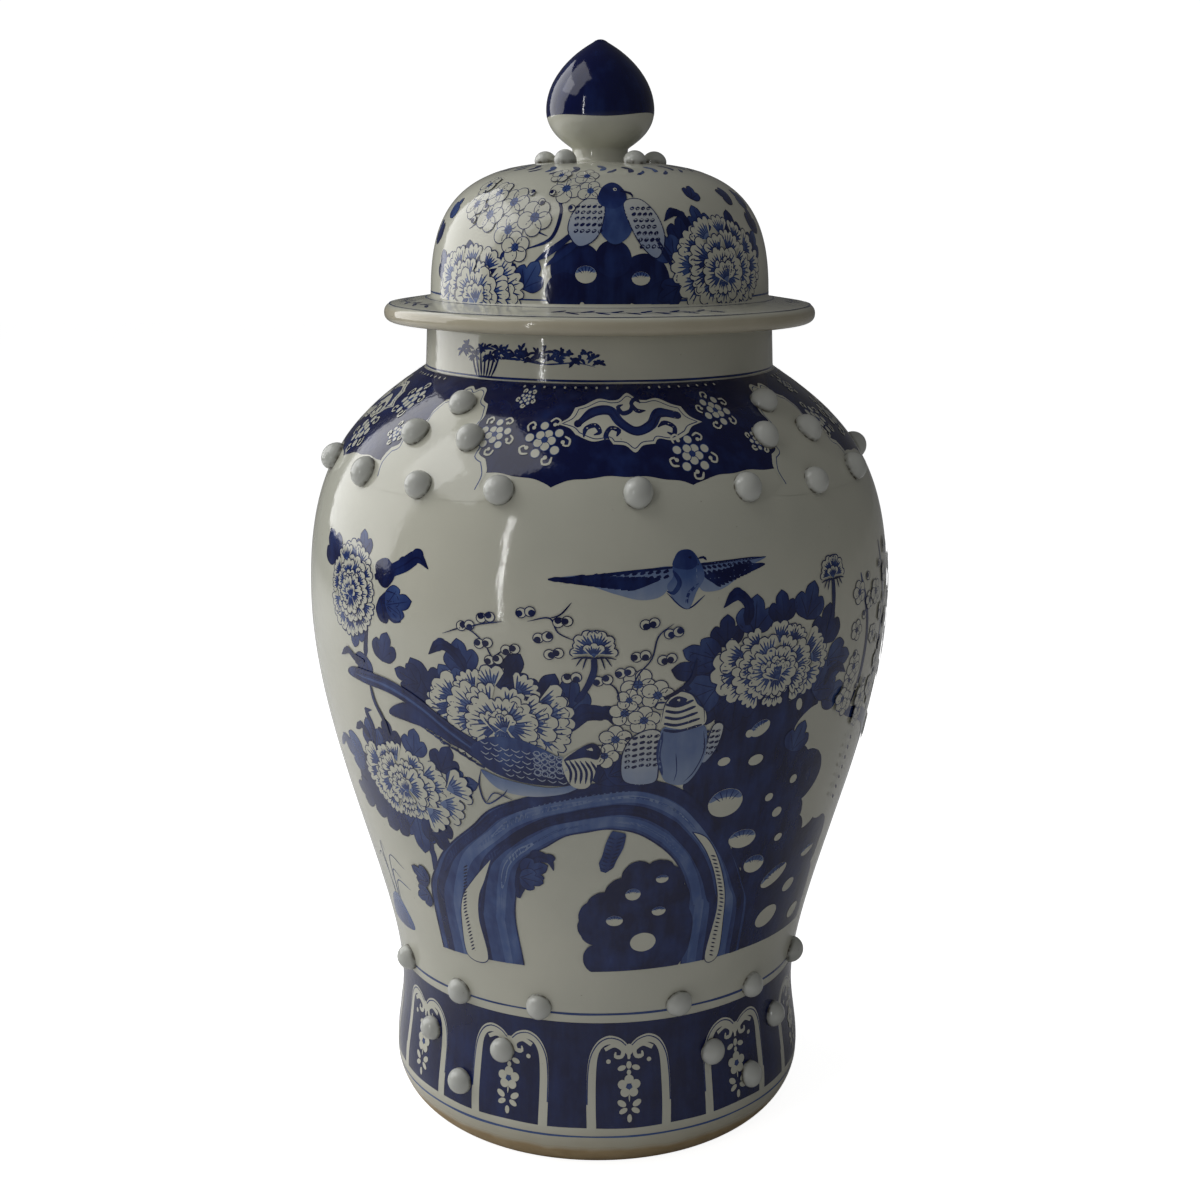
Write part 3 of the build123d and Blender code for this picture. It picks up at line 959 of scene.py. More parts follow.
def berry(drawing, place, size=2.5):
    """A bud or berry: a ring with a dark pip to one side."""
    ring = oval(0, 0, size, size, 7)
    dab(drawing, place, ring, 0.0)
    stroke(drawing, place, ring, 0.5, 0.9, closed=True)
    way = hand.uniform(0, math.tau)
    pip = [(0.66 * x + 0.4 * size * math.cos(way), 0.66 * y + 0.4 * size * math.sin(way))
           for x, y in ring]
    dab(drawing, place, pip, 0.95)


def sprig(drawing, place, path, berries):
    """A thin twig with pairs of berries."""
    stroke(drawing, place, path, 0.75, 0.85)
    for x, y in berries:
        berry(drawing, then(place, at(x, y)))
        berry(drawing, then(place, at(x + 4.1, y + 0.8)))


# %% Leaves
def leaf(drawing, place, size, ink):
    """A three-lobed peony leaf on its stalk, pointing up."""
    outline = [(0, 0), (0, 0), (-0.42, 0.12), (-0.62, 0.5), (-0.44, 0.78), (-0.28, 0.72),
               (-0.28, 0.72), (-0.24, 0.98), (0, 1.18), (0, 1.18), (0.22, 0.98), (0.27, 0.72),
               (0.27, 0.72), (0.46, 0.76), (0.6, 0.46), (0.4, 0.1)]
    shape = then(place, at(0, 0, size))
    dab(drawing, shape, outline, (ink, ink * 0.86))
    dark = min(1.0, ink + 0.22)
    stroke(drawing, shape, outline[1:] + outline[:1], 0.45, dark, ends=(1, 1))
    for tip_x, tip_y in ((0, 1.0), (-0.42, 0.62), (0.42, 0.6)):
        stroke(drawing, shape, [(0, 0.05), (tip_x * 0.4, tip_y * 0.5), (tip_x, tip_y)],
               0.5, dark)


def hooked_leaf(drawing, place, path, width, ink=0.9):
    """A long leaf that hooks over, with a toothed back."""
    stroke(drawing, place, path, width, ink, ends=(0.35, 0.08))
    for k in range(1, len(path) - 1):
        x, y = path[k]
        dab(drawing, place, oval(x, y + 0.25 * width, 0.5 * width, 0.4 * width, 6), ink)
    stroke(drawing, place, path, width * 0.12, min(1.0, ink + 0.15), ends=(0.5, 0.1))


def leaves(drawing, place, rows):
    """Many leaves at once: x, y, size, turn, ink."""
    for x, y, size, turn, ink in rows:
        leaf(drawing, then(place, at(x, y, 1, turn)), size, ink)


# %% Rocks
def lobed(points, depth):
    """An outline whose sides bulge outward, like a scholar's rock, all but the last one."""
    bulged = []
    middle = np.mean(points, axis=0)
    for a, b in zip(points, points[1:] + points[:1]):
        a, b = np.array(a, float), np.array(b, float)
        out = np.array([b[1] - a[1], a[0] - b[0]])
        if np.dot(out, (a + b) / 2 - middle) < 0:
            out = -out
        bulged += [tuple(a), tuple(a), tuple(a * 0.72 + b * 0.28 + out * depth),
                   tuple(a * 0.28 + b * 0.72 + out * depth)]
    return bulged[:-2]


def hole(drawing, place, x, y, wide, high, turn=0, washed=True):
    """A white hole in a rock, often with a wash in its lower half and a second rim."""
    shape = then(place, at(x, y, 1, turn))
    dab(drawing, shape, oval(0, 0, wide, high), 0.0)
    if washed:
        shade = [(wide * 0.98 * math.cos(t), high * 0.98 * math.sin(t))
                 for t in np.linspace(0.3, 3.0, 7)]
        shade += [(wide * 0.75 * math.cos(t), high * 0.30 * math.sin(t) + high * 0.1)
                  for t in np.linspace(2.8, 0.4, 5)]
        dab(drawing, shape, shade, (0.22, 0.6))
        for t in np.linspace(0.7, 2.5, 5):
            stroke(drawing, shape, [(wide * 0.9 * math.cos(t), high * 0.9 * math.sin(t)),
                                    (wide * 0.4 * math.cos(t), high * 0.2 * math.sin(t))],
                   0.6, 0.7, ends=(1, 0.1))


def tall_rock(drawing, place):
    """The dark rock full of holes that leans against the arch."""
    outline = [(100, 127), (98, 150), (94, 166), (86, 184), (76, 200), (64, 212), (53, 228),
               (42, 242), (50, 254), (56, 268), (66, 281), (73, 291), (88, 291), (104, 295),
               (115, 293), (118, 276), (104, 267), (105, 256), (117, 250), (129, 245),
               (133, 232), (122, 219), (125, 208), (131, 198), (141, 202), (153, 200),
               (163, 193), (165, 178), (163, 166), (170, 152), (172, 138), (173, 126)]
    dab(drawing, place, lobed(outline, 0.10), 0.90)
    for x, y, wide, high, turn in ((67, 229, 10, 8.5, 0), (82, 204, 9, 5.8, -5),
                                   (95, 185, 7.6, 5.6, -10), (116, 172, 11, 5.6, 24),
                                   (148, 179, 7, 3.4, 8), (81, 270, 6, 4, 30)):
        hole(drawing, place, x, y, wide, high, turn)
    for x, y, wide, high in ((120, 144, 10, 6.6), (136, 160, 6, 4), (156, 137, 7, 4.6),
                             (62.6, 254, 3.4, 2.4), (81, 252, 4.4, 3), (75, 268, 2.2, 2.2),
                             (110, 234.5, 2.6, 2.6), (94.5, 227, 2.7, 2.4),
                             (103, 216, 3.4, 3), (109.5, 198.5, 3, 2.4), (104, 279, 2, 3.4)):
        hole(drawing, place, x, y, wide, high, 10, washed=False)
    leaves(drawing, place, [(104, 252, 15, -20, 0.7), (120, 278, 16, -75, 0.72)])


def arch_rock(drawing, place):
    """The great double arch in middle blue, with two slits of hatching in it."""
    outer = [(-112, 125), (-111, 150), (-108, 168), (-100, 181), (-92, 192), (-82, 202),
             (-68, 214), (-56, 226), (-38, 235), (-20, 241), (0, 246), (20, 248), (32, 245),
             (43, 239), (54, 228), (66, 212), (79, 193), (89, 175), (97, 158), (100, 127)]
    inner = [(55, 127), (54.5, 166), (50, 182), (43, 196), (33, 207), (20, 216), (6, 219),
             (-6, 217), (-17, 214), (-27, 207), (-36, 201), (-43, 192), (-47, 176),
             (-50, 156), (-48, 127)]
    ribbon(drawing, place, outer, inner[::-1], 0.58)
    drawing["height"] += 0.02  # clear of the ribbon where their faces bend apart
    back = [inner[round(k * (len(inner) - 1) / (len(outer) - 1))]
            for k in range(len(outer))][::-1]
    for share, ink, width in ((0.12, 0.86, 6.0), (0.34, 0.40, 6.5), (0.60, 0.90, 6.0),
                              (0.84, 0.44, 6.0)):
        path = [(a[0] * (1 - share) + b[0] * share, a[1] * (1 - share) + b[1] * share)
                for a, b in zip(outer, back)]
        stroke(drawing, place, path, width, ink, ends=(1, 1), step=3)
        for k in range(5):
            first = int(hand.integers(0, 15))
            stroke(drawing, place, path[first:first + 5], width * hand.uniform(0.2, 0.6),
                   ink + hand.uniform(-0.2, 0.12), ends=(0.3, 0.2), step=3)
    stroke(drawing, place, outer, 1.1, 0.88, ends=(1, 1))
    stroke(drawing, place, inner, 0.9, 0.86, ends=(1, 1))
    left = [(-90, 126), (-89, 150), (-84, 166), (-74, 179), (-59, 196), (-59, 196), (-66, 180),
            (-72, 168), (-75, 152), (-74, 126)]
    right = [(72, 128), (74, 160), (69, 181), (60, 200), (50, 214), (50, 214), (59, 209),
             (68, 195), (77, 173), (80.5, 154), (82, 128)]
    for slit in (left, right):
        dab(drawing, place, slit, 0.0)
        stroke(drawing, place, slit, 0.6, 0.8, closed=True)
    for k in range(26):
        share = k / 26
        x, y = -86 + 14 * max(0, share - 0.45), 130 + 58 * share
        stroke(drawing, place, [(x, y), (x + 3.2, y + 2.2)], 0.9, 0.95)
        x, y = 75 - 30 * max(0, share - 0.5) ** 1.2, 130 + 70 * share
        stroke(drawing, place, [(x, y), (x + 3.4, y - 1.4)], 0.9, 0.95)


def rock_in_arch(drawing, place):
    """The low dark rock inside the arch, and the twig that hangs over it."""
    outline = [(53, 127), (54, 166), (49.5, 181), (42, 194), (36, 198), (28, 196), (20, 198),
               (13, 188), (4, 179), (-6, 172), (-11, 160), (-10, 150), (-3, 144), (-9, 135),
               (-4, 126)]
    dab(drawing, place, lobed(outline, 0.13), (0.88, 0.95))
    for x, y, wide, high in ((10, 160, 5, 3.4), (20, 177, 4.4, 3.8), (36, 186, 3.6, 2.6),
                             (36, 165, 4.2, 3)):
        hole(drawing, place, x, y, wide, high)
    hole(drawing, place, 28, 145, 8, 6.2, washed=False)
    stroke(drawing, place, [(11, 217), (8, 206), (3, 192)], 9, 0.66, ends=(0.8, 0.3))
    for k in range(9):
        y = 214 - 2.4 * k
        stroke(drawing, place, [(5.5 - 0.5 * k, y), (9 - 0.6 * k, y - 1.5)], 1.0, 0.9)
        stroke(drawing, place, [(14 - 0.7 * k, y), (10.5 - 0.6 * k, y - 1.5)], 1.0, 0.9)


# %% Birds
def speckled_wing(drawing, place, outline, spots):
    """A wing: a pale ground with rows of dark spots or short feathers."""
    dab(drawing, place, outline, (0.14, 0.05))
    stroke(drawing, place, outline, 0.6, 0.9, closed=True)
    for x, y, length, turn in spots:
        angle = math.radians(turn)
        reach = (length * math.cos(angle), length * math.sin(angle))
        stroke(drawing, place, [(x, y), (x + reach[0] / 2, y + reach[1] / 2),
                                (x + reach[0], y + reach[1])], 2.7, 0.97, ends=(0.6, 0.4))


def flying_bird(drawing, place):
    """A bird with spread wings, seen from the front, its beak to the right."""
    left = [(34, 357.5), (16, 356), (0, 354.5), (-12, 354), (-23, 351.5), (-8, 350.5),
            (8, 345), (20, 342), (30, 345)]
    right = [(46, 358), (58, 358.5), (70, 359), (82, 359), (72, 355), (64, 349), (56, 345),
             (47, 346)]
    for wing in (left, right):
        dab(drawing, place, wing, (0.16, 0.34))
    for k in range(13):
        s = k / 12
        root = (28 - 34 * s, 352.5 + 1.4 * s)
        stroke(drawing, place, [root, (root[0] - 7, root[1] - 2.6 + s),
                                (root[0] - 15 - 2 * s, root[1] - 5.6 + 3.6 * s)],
               2.3, 0.92, ends=(0.6, 0.3))
        root = (49 + 22 * s, 353 + 4.4 * s)
        stroke(drawing, place, [root, (root[0] + 4, root[1] - 3.0 + s),
                                (root[0] + 8 + 2 * s, root[1] - 6.4 + 4.4 * s)],
               2.1, 0.92, ends=(0.6, 0.3))
    for k in range(20):
        row, column = k // 10, k % 10
        stroke(drawing, place, [(32 - 3.6 * column, 356.2 - 2.6 * row - 0.15 * column),
                                (29.6 - 3.6 * column, 355 - 2.6 * row - 0.15 * column)],
               1.7, 0.98, ends=(0.7, 0.5))
        stroke(drawing, place, [(48 + 2.6 * column, 357 - 2.4 * row + 0.1 * column),
                                (50 + 2.6 * column, 355.8 - 2.4 * row + 0.1 * column)],
               1.5, 0.98, ends=(0.7, 0.5))
    stroke(drawing, place, [(-23, 351.5), (-6, 353.6), (16, 356), (34, 357.5)], 1.4, 0.95,
           ends=(0.1, 0.8))
    stroke(drawing, place, [(82, 359), (66, 359), (46, 358)], 1.3, 0.95, ends=(0.1, 0.8))
    stroke(drawing, place, [(31, 345), (40, 337), (49, 343)], 0.8, 0.75)
    stroke(drawing, place, [(40, 337.5), (41, 344), (46, 349)], 1.4, 0.6)
    body = [(31, 348), (35, 341), (41, 337), (45, 345), (49, 352), (47, 360), (43, 365.5),
            (37, 365), (34, 359), (34, 353)]
    dab(drawing, place, body, (0.2, 0.62))
    dab(drawing, place, [(34, 358), (37, 364.5), (43, 365), (46, 359), (42, 356)], 0.66)
    stroke(drawing, place, [(34, 356), (37, 350), (34, 345), (31, 346)], 2.2, 0.7)
    stroke(drawing, place, [(46, 361), (49, 361.6), (50.5, 360)], 1.2, 0.9)
    dab(drawing, place, [(41.5, 362), (43, 362.6), (43, 361)], 0.98)


def standing_bird(drawing, place):
    """The bird on top of the arch: pale breast, ringed neck, speckled wings."""
    left = [(13, 247), (11, 260), (15, 271), (24, 276), (30, 272), (29, 256), (27, 246)]
    spots = [(13.5 + 3.4 * (k % 5), 273 - 3.2 * (k // 5) - 0.8 * (k % 5 < 2), 1.6, -70)
             for k in range(30)]
    speckled_wing(drawing, place, left, spots)
    right = [(50, 256), (52, 266), (55, 276), (60, 275), (58, 264), (53, 256)]
    spots = [(51.5 + 2.8 * (k % 3), 273 - 3 * (k // 3), 1.4, -70) for k in range(15)]
    speckled_wing(drawing, place, right, spots)
    dab(drawing, place, [(31, 277), (49, 277), (52, 266), (50, 254), (43, 244), (33, 246),
                         (29, 256), (29, 268)], (0.22, 0.34))
    stroke(drawing, place, [(30, 274), (28.5, 262), (31, 250)], 2.2, 0.62)
    stroke(drawing, place, [(50, 273), (51, 262), (47, 251), (42, 245)], 0.6, 0.85)
    stroke(drawing, place, [(37, 262), (38, 252), (37, 246)], 0.5, 0.7)
    dab(drawing, place, [(29, 279), (31, 290), (37, 295), (43, 293), (46, 288), (50, 284),
                         (50, 277), (40, 275)], 0.0)
    for k in range(5):
        y = 291 - 3.4 * k
        stroke(drawing, place, [(31 - 0.2 * k, y - 2), (37, y - 3.2), (44 + 1.2 * k, y - 0.6)],
               1.5, 0.84, ends=(0.8, 0.5))
    stroke(drawing, place, [(29, 280), (31, 290), (37, 295.5), (44, 293), (49, 286), (50, 278)],
           0.6, 0.88)
    dab(drawing, place, [(32, 290), (36, 293), (41, 291), (38, 288), (34, 288)], 0.8)
    dab(drawing, place, [(36, 291), (37.4, 291.6), (37.4, 290.2)], 0.0)
    stroke(drawing, place, [(31, 290), (27, 290), (26, 287.5)], 1.0, 0.8)
    stroke(drawing, place, [(30, 292), (37, 296), (43, 302), (45, 312)], 2.0, 0.95,
           ends=(1, 0.1))


def pheasant(drawing, place):
    """The long-tailed pheasant that runs down to the arch."""
    upper = [(-141, 287), (-138, 291), (-128, 292), (-110, 291), (-96, 287), (-84, 281),
             (-70, 272), (-55, 263), (-50, 252), (-62, 257), (-72, 265), (-84, 274),
             (-96, 280), (-110, 284), (-126, 285)]
    lower = [(-110, 272), (-104, 278), (-92, 281), (-80, 277), (-66, 267), (-58, 258),
             (-72, 262), (-84, 268), (-97, 270)]
    for plume, ink in ((lower, 0.80), (upper, 0.76)):
        dab(drawing, place, plume, ink)
        stroke(drawing, place, plume, 0.7, 0.92, closed=True)
    for offset, ink in ((2.0, 0.9), (-0.5, 0.5), (-2.6, 0.88)):
        stroke(drawing, place, [(-134, 288.5 + offset * 0.5), (-110, 287.5 + offset),
                                (-90, 280.5 + offset), (-72, 268.5 + offset),
                                (-56, 258.5 + offset)], 1.3, ink)
    for k in range(9):
        x, y = -96 + 4.4 * k, 271 - 2.4 * k
        stroke(drawing, place, [(x + 5, y - 0.5), (x, y + 1.5)], 1.3, 0.85, ends=(1, 0.1))
    body = [(-62, 262), (-52, 269), (-40, 270), (-28, 266), (-14, 258), (-7, 252), (-9, 246),
            (-24, 244), (-42, 246), (-56, 252)]
    belly = [(-58, 250), (-46, 246), (-24, 243), (-8, 246), (-16, 240), (-34, 237), (-50, 240)]
    dab(drawing, place, belly, (0.10, 0.42))
    dab(drawing, place, body, (0.86, 0.60))
    for row in range(6):
        for k in range(8):
            x = -57 + 5.2 * k + 1.6 * (row % 2)
            y = 265 - 0.5 * k - 2.9 * row + (1.5 if k < 2 else 0)
            if row < 4 or k > 1:
                stroke(drawing, place, [(x, y), (x + 2.4, y - 1.5), (x + 4.2, y - 0.4)],
                       0.5, 0.10, ends=(0.5, 0.5))
    for k in range(18):
        x, y = -29 + 3.6 * (k % 5), 262 - 3.5 * (k // 5) - 0.7 * (k % 5)
        stroke(drawing, then(place, at(x, y)), oval(0, 0, 1.5, 1.5, 6), 0.5, 0.12, closed=True)
    neck = [(-17, 258), (-12, 264), (-6, 266), (-1, 262), (-1, 254), (-5, 244), (-13, 245)]
    dab(drawing, place, neck, 0.0)
    for k in range(6):
        x = -14.5 + 2.5 * k
        stroke(drawing, place, [(x - 1.5, 259.5 - k * 0.1), (x + 1.5, 253), (x + 1, 246)],
               1.3, 0.86)
    dab(drawing, place, [(-16, 259), (-10, 265), (-3, 269), (1, 266), (0, 260), (-6, 261)], 0.88)
    dab(drawing, place, [(-5, 265.5), (-3, 266.6), (-2.4, 264.8)], 0.0)
    stroke(drawing, place, [(0.5, 264), (3.6, 262.5), (1, 261)], 0.8, 0.8)
    stroke(drawing, place, [(-58, 250), (-60, 240), (-57, 230), (-48, 236), (-45, 240)],
           0.9, 0.75)
    stroke(drawing, place, [(-57, 231), (-52, 237), (-43, 234)], 0.7, 0.75)


# %% [markdown]
# ## Composing the scenes
#
# The belly is one long scroll: a bush of peonies with the pheasant, the arch with its
# rocks, a bird on top and one in flight, and a plum tree. The front follows the jar; the
# far side repeats the same motifs mirrored and moved, as a workshop painter would do.

# %% Groups of the scroll
def upper_peony(drawing, place):
    stroke(drawing, place, [(-125, 298), (-124, 306), (-123, 320), (-127, 330)], 3.4, 0.82)
    leaves(drawing, place, [(-127, 352, 12, 10, 0.7), (-152, 345, 17, 40, 0.88),
                            (-113, 333, 15, -125, 0.9), (-109, 330, 15, -75, 0.62),
                            (-124, 300, 13, 150, 0.8), (-112, 300, 14, -15, 0.88),
                            (-131, 318, 13, 170, 0.6)])
    hooked_leaf(drawing, place, [(-117, 343), (-108, 347), (-98, 352), (-90, 357), (-83, 352)], 7)
    dab(drawing, place, [(-117, 350), (-109, 354), (-103, 347), (-108, 339), (-114, 341)], 0.9)
    peony(drawing, then(place, at(-136, 334)), 19, 24)
    hooked_leaf(drawing, place, [(-126, 297), (-133, 297), (-140, 300), (-147, 296)], 3.5, 0.85)
    stroke(drawing, place, [(-123, 286), (-121, 276), (-116, 267), (-113, 258)], 2.2, 0.84)


def middle_peony(drawing, place):
    leaves(drawing, place, [(-63, 302, 15, 12, 0.66), (-46, 296, 18, -30, 0.92),
                            (-80, 283, 22, 30, 0.86), (-88, 292, 14, 70, 0.9),
                            (-28, 287, 17, -25, 0.92), (-14, 284, 17, -5, 0.7),
                            (-66, 292, 14, 40, 0.6)])
    hooked_leaf(drawing, place, [(-62, 303), (-67, 311), (-75, 315), (-82, 309)], 5.5)
    hooked_leaf(drawing, place, [(-22, 276), (-14, 278), (-6, 285), (4, 284), (7, 279)], 8, 0.94)
    peony(drawing, then(place, at(-48, 281)), 37, 24, heart=(0.15, -0.3))
    leaves(drawing, place, [(0, 246, 17, -25, 0.86), (4, 250, 16, -60, 0.8)])


def lower_peony(drawing, place):
    stroke(drawing, place, [(-104, 212), (-103, 200), (-100, 188), (-103, 178)], 4.5, 0.75)
    stroke(drawing, place, [(-97, 209), (-99, 196), (-100, 186)], 2.4, 0.7)
    leaves(drawing, place, [(-114, 250, 15, 5, 0.88), (-127, 246, 16, 15, 0.66),
                            (-98, 250, 14, -10, 0.68), (-82, 244, 15, -25, 0.9),
                            (-79, 236, 16, -75, 0.66), (-140, 240, 22, 150, 0.92),
                            (-143, 238, 20, 85, 0.66), (-106, 214, 22, 178, 0.66),
                            (-96, 214, 19, -160, 0.92), (-118, 212, 20, 130, 0.88),
                            (-132, 214, 20, 95, 0.9), (-146, 212, 16, 80, 0.88)])
    hooked_leaf(drawing, place, [(-128, 250), (-127, 260), (-130, 268), (-125, 270)], 3.6, 0.86)
    hooked_leaf(drawing, place, [(-132, 252), (-138, 258), (-145, 254)], 4, 0.88)
    hooked_leaf(drawing, place, [(-158, 244), (-166, 243), (-177, 235)], 4, 0.6)
    peony(drawing, then(place, at(-111, 232)), 32, 20, heart=(0.1, -0.2))
    for x, y, turn in ((-80, 222, -100), (-90, 217, -130), (-74, 231, -70)):
        petal(drawing, then(place, at(x - 6, y + 3, 1, turn)), 15, 50, 4, 0.45)
    leaves(drawing, place, [(-110, 168, 13, 60, 0.72), (-112, 160, 12, 110, 0.68)])


def right_peony(drawing, place):
    leaves(drawing, place, [(60, 316, 14, 0, 0.92), (74, 321, 17, -5, 0.68),
                            (91, 325, 14, 5, 0.93), (105, 324, 17, -18, 0.72),
                            (118, 309, 18, -12, 0.92), (121, 300, 17, -95, 0.72),
                            (54, 303, 18, 80, 0.93), (56, 310, 16, 70, 0.8),
                            (62, 291, 18, 130, 0.9), (66, 292, 18, 175, 0.92),
                            (56, 296, 17, 110, 0.7), (112, 284, 20, -60, 0.72)])
    hooked_leaf(drawing, place, [(70, 326), (71, 336), (65, 342), (58, 336)], 5.5, 0.94)
    hooked_leaf(drawing, place, [(121, 286), (124, 292), (131, 294), (139, 289)], 4.5, 0.9)
    peony(drawing, then(place, at(87, 303)), 33, 20, heart=(-0.05, -0.25))


def berries(drawing, place):
    sprig(drawing, place, [(-44, 306), (-49, 312), (-53, 319), (-62, 325), (-74, 321)],
          [(-64, 326), (-55, 318)])
    sprig(drawing, place, [(-62, 325), (-54, 328), (-44, 330)], [(-54, 331)])
    sprig(drawing, place, [(-49, 311), (-43, 316)], [(-42, 316), (-50, 310)])
    sprig(drawing, place, [(-10, 322), (-18, 326), (-22, 333), (-32, 331)],
          [(-35, 335), (-18, 331), (-27, 323)])
    sprig(drawing, place, [(-22, 333), (-17, 335), (-12, 341)], [(-22, 315), (-14, 303)])
    sprig(drawing, place, [(14, 295), (18, 305), (24, 313), (27, 324), (34, 330)],
          [(21, 330), (32, 325), (17, 314), (29, 312)])
    sprig(drawing, place, [(10, 290), (8, 298), (3, 302)], [(0, 302), (10, 306)])
    side_flower(drawing, then(place, at(-2, 313)), 10,
                stem=[(0, 1), (0, -6), (-3, -14), (-8, -22)])


def blossoms(drawing, place):
    for x, y, size in ((18, 300, 7.6), (27, 294, 7.2), (12, 285, 6.6), (21, 281, 7),
                       (8, 271, 7), (3, 262, 6.4), (14, 292, 5.4)):
        plum(drawing, then(place, at(x, y, 1, hand.uniform(0, 70))), size)


def plum_tree(drawing, place):
    """A leaning plum branch, thick with small blossoms and buds."""
    stroke(drawing, place, [(140, 268), (152, 263), (168, 258), (190, 244), (206, 210),
                            (214, 170), (216, 126)], 8, 0.68, ends=(0.4, 1))
    stroke(drawing, place, [(150, 266), (158, 286), (160, 312), (152, 340)], 3.4, 0.78)
    stroke(drawing, place, [(186, 248), (182, 280), (188, 316), (182, 352)], 4.2, 0.76)
    stroke(drawing, place, [(196, 236), (214, 262), (222, 300), (216, 340)], 3.4, 0.78)
    stroke(drawing, place, [(208, 206), (228, 222), (246, 232)], 3.4, 0.78)
    spots = np.random.default_rng(21)
    for x0, y0, count, wide, high in ((157, 300, 12, 16, 40), (184, 306, 13, 14, 44),
                                      (216, 300, 12, 14, 40), (150, 268, 6, 12, 12),
                                      (236, 226, 8, 18, 12)):
        for k in range(count):
            x = x0 + wide * spots.uniform(-1, 1)
            y = y0 + high * (2 * (k + 0.5) / count - 1)
            if k % 3 == 2:
                berry(drawing, then(place, at(x, y)), 2.3)
            else:
                plum(drawing, then(place, at(x, y, 1, spots.uniform(0, 70))),
                     spots.uniform(4.6, 6.4), 0.75)
    for k in range(7):
        y = 248 - 6 * k
        stroke(drawing, place, [(158 - 0.3 * k, y), (160, y - 3)], 1.8, 0.9)


def grasses(drawing, place):
    dab(drawing, place, [(-178, 125), (-172, 140), (-160, 146), (-153, 142), (-145, 126)],
        (0.66, 0.3))
    for root, lean, reach in ((-158, 24, 44), (-157, 14, 30), (-156, 22, 22), (-160, -12, 40),
                              (-162, 6, 52)):
        stroke(drawing, place, [(root, 142), (root + lean * 0.3, 142 + reach * 0.7),
                                (root + lean, 142 + reach * 0.62)], 0.8, 0.6)


# %% The scroll round the belly
def leaf_in_arch(drawing, place):
    hooked_leaf(drawing, place, [(-46, 172), (-43, 184), (-40, 192), (-33, 200), (-26, 198),
                                 (-24, 192)], 7, 0.88)
    leaves(drawing, place, [(-42, 188, 14, -65, 0.7), (-44, 186, 12, -100, 0.66)])


def far_bud(drawing, place):
    side_flower(drawing, then(place, at(125, 341)), 9,
                stem=[(0, 1), (0, -10), (-1, -18), (-4, -25)])


layers = (
    (0.05, (grasses, upper_peony, lower_peony, tall_rock, middle_peony)),
    (0.10, (plum_tree, flying_bird)),
    (0.20, (right_peony,)),
    (0.34, (berries, far_bud, blossoms)),
    (0.36, (arch_rock,)),
    (0.48, (rock_in_arch, leaf_in_arch)),
    (0.55, (pheasant, standing_bird)),
)


def paint_scroll(name, place):
    """One half of the scroll, from the grasses to the plum tree."""
    scroll = new_drawing()
    for height, paints in layers:
        for paint in paints:
            scroll["height"] = height
            paint(scroll, place)
    hang(scroll, name, wall_skin, brush_cobalt, "jar")


paint_scroll("painted_scroll_front", HERE)
paint_scroll("painted_scroll_back", at(math.pi * ON_WALL + 8, 0, 1, 0, True))


# %% [markdown]
# ## The foot
#
# A dark band of lappets runs round the foot between thin lines. Each lappet is a white
# arch with a cusp in the middle and curled ends, and hangs a small spray of petals.

# %% Lappets round the foot
foot = new_drawing(touch=0.012, cell=(2.4, 3.0))


def lappet(drawing, place):
    """One white arch of the band, with the spray that hangs in it."""
    half = [(23.3, 30), (23.6, 46), (23.4, 62), (21.8, 73), (17.5, 81), (11.5, 84.4),
            (5.5, 83), (1.6, 79.6), (0, 77)]
    inside = [(0, 71), (1.4, 73), (5, 77.4), (10, 79.2), (14.6, 77.6), (17.4, 72),
              (18.4, 62), (18.6, 46), (18.2, 30)]
    for side in (-1, 1):
        ribbon(drawing, place, [(side * x, y) for x, y in half],
               [(side * x, y) for x, y in inside[::-1]], 0.0)
        curl = [(side * x, y) for x, y in ((13.5, 76), (8, 78.5), (3.4, 75.5), (4.2, 71.6),
                                           (7.6, 71.8), (7.4, 74.4))]
        stroke(drawing, place, curl, 2.4, 0.0, ends=(1, 0.3))
        stroke(drawing, place, [(side * x * 0.985, y - 1.5) for x, y in half[1:-1]], 0.7, 0.7,
               ends=(1, 1))
        dab(drawing, place, ring_of(side * 11.5, 69, 1.3), 0.0)
    stroke(drawing, place, [(0, 79), (0, 74), (0, 70)], 1.8, 0.0, ends=(1, 0.6))
    for x, y, wide, high, turn in ((0, 66.6, 1.5, 2.2, 0), (-4, 65, 2.4, 1.5, 18),
                                   (4, 65, 2.4, 1.5, -18), (0, 62.4, 1.2, 1.6, 0),
                                   (-4.2, 45, 2.7, 1.7, -35), (4.2, 45, 2.7, 1.7, 35),
                                   (-3.4, 40.8, 2.5, 1.5, 30), (3.4, 40.8, 2.5, 1.5, -30),
                                   (0, 36.4, 1.3, 2.4, 0)):
        dab(drawing, then(place, at(x, y, 1, turn)), oval(0, 0, wide, high), 0.0)
    for k in range(5):
        angle = math.tau * k / 5
        dab(drawing, place, ring_of(4.0 * math.sin(angle), 54.5 + 4.0 * math.cos(angle), 2.6), 0.0)
    stroke(drawing, place, [(0, 50), (0, 46)], 0.8, 0.0)
    dab(drawing, place, ring_of(0, 54.5, 1.7), 0.6)


def waver(size):
    """A slow uneven line round the pot, as a hand holds it against the wheel."""
    shift = hand.uniform(0, math.tau, 3)
    return lambda x: size * sum(
        math.sin(n * x / 120 + s) for n, s in zip((3, 7, 16), shift)) / 2


band(foot, 25.0, 26.3, ON_FOOT, 0.46, edge=waver(0.3), rows=1)
band(foot, 97.2, 98.6, ON_FOOT, 0.60, edge=waver(0.3), rows=1)
band(foot, 31.0, 92.4, ON_FOOT, 0.94, edge=waver(0.4))
for k in range(11):
    foot["height"] = 0.09
    lappet(foot, at(17.9 + math.tau * ON_FOOT * k / 11, hand.uniform(-0.4, 0.4)))
hang(foot, "painted_foot", foot_skin, band_cobalt, "jar")


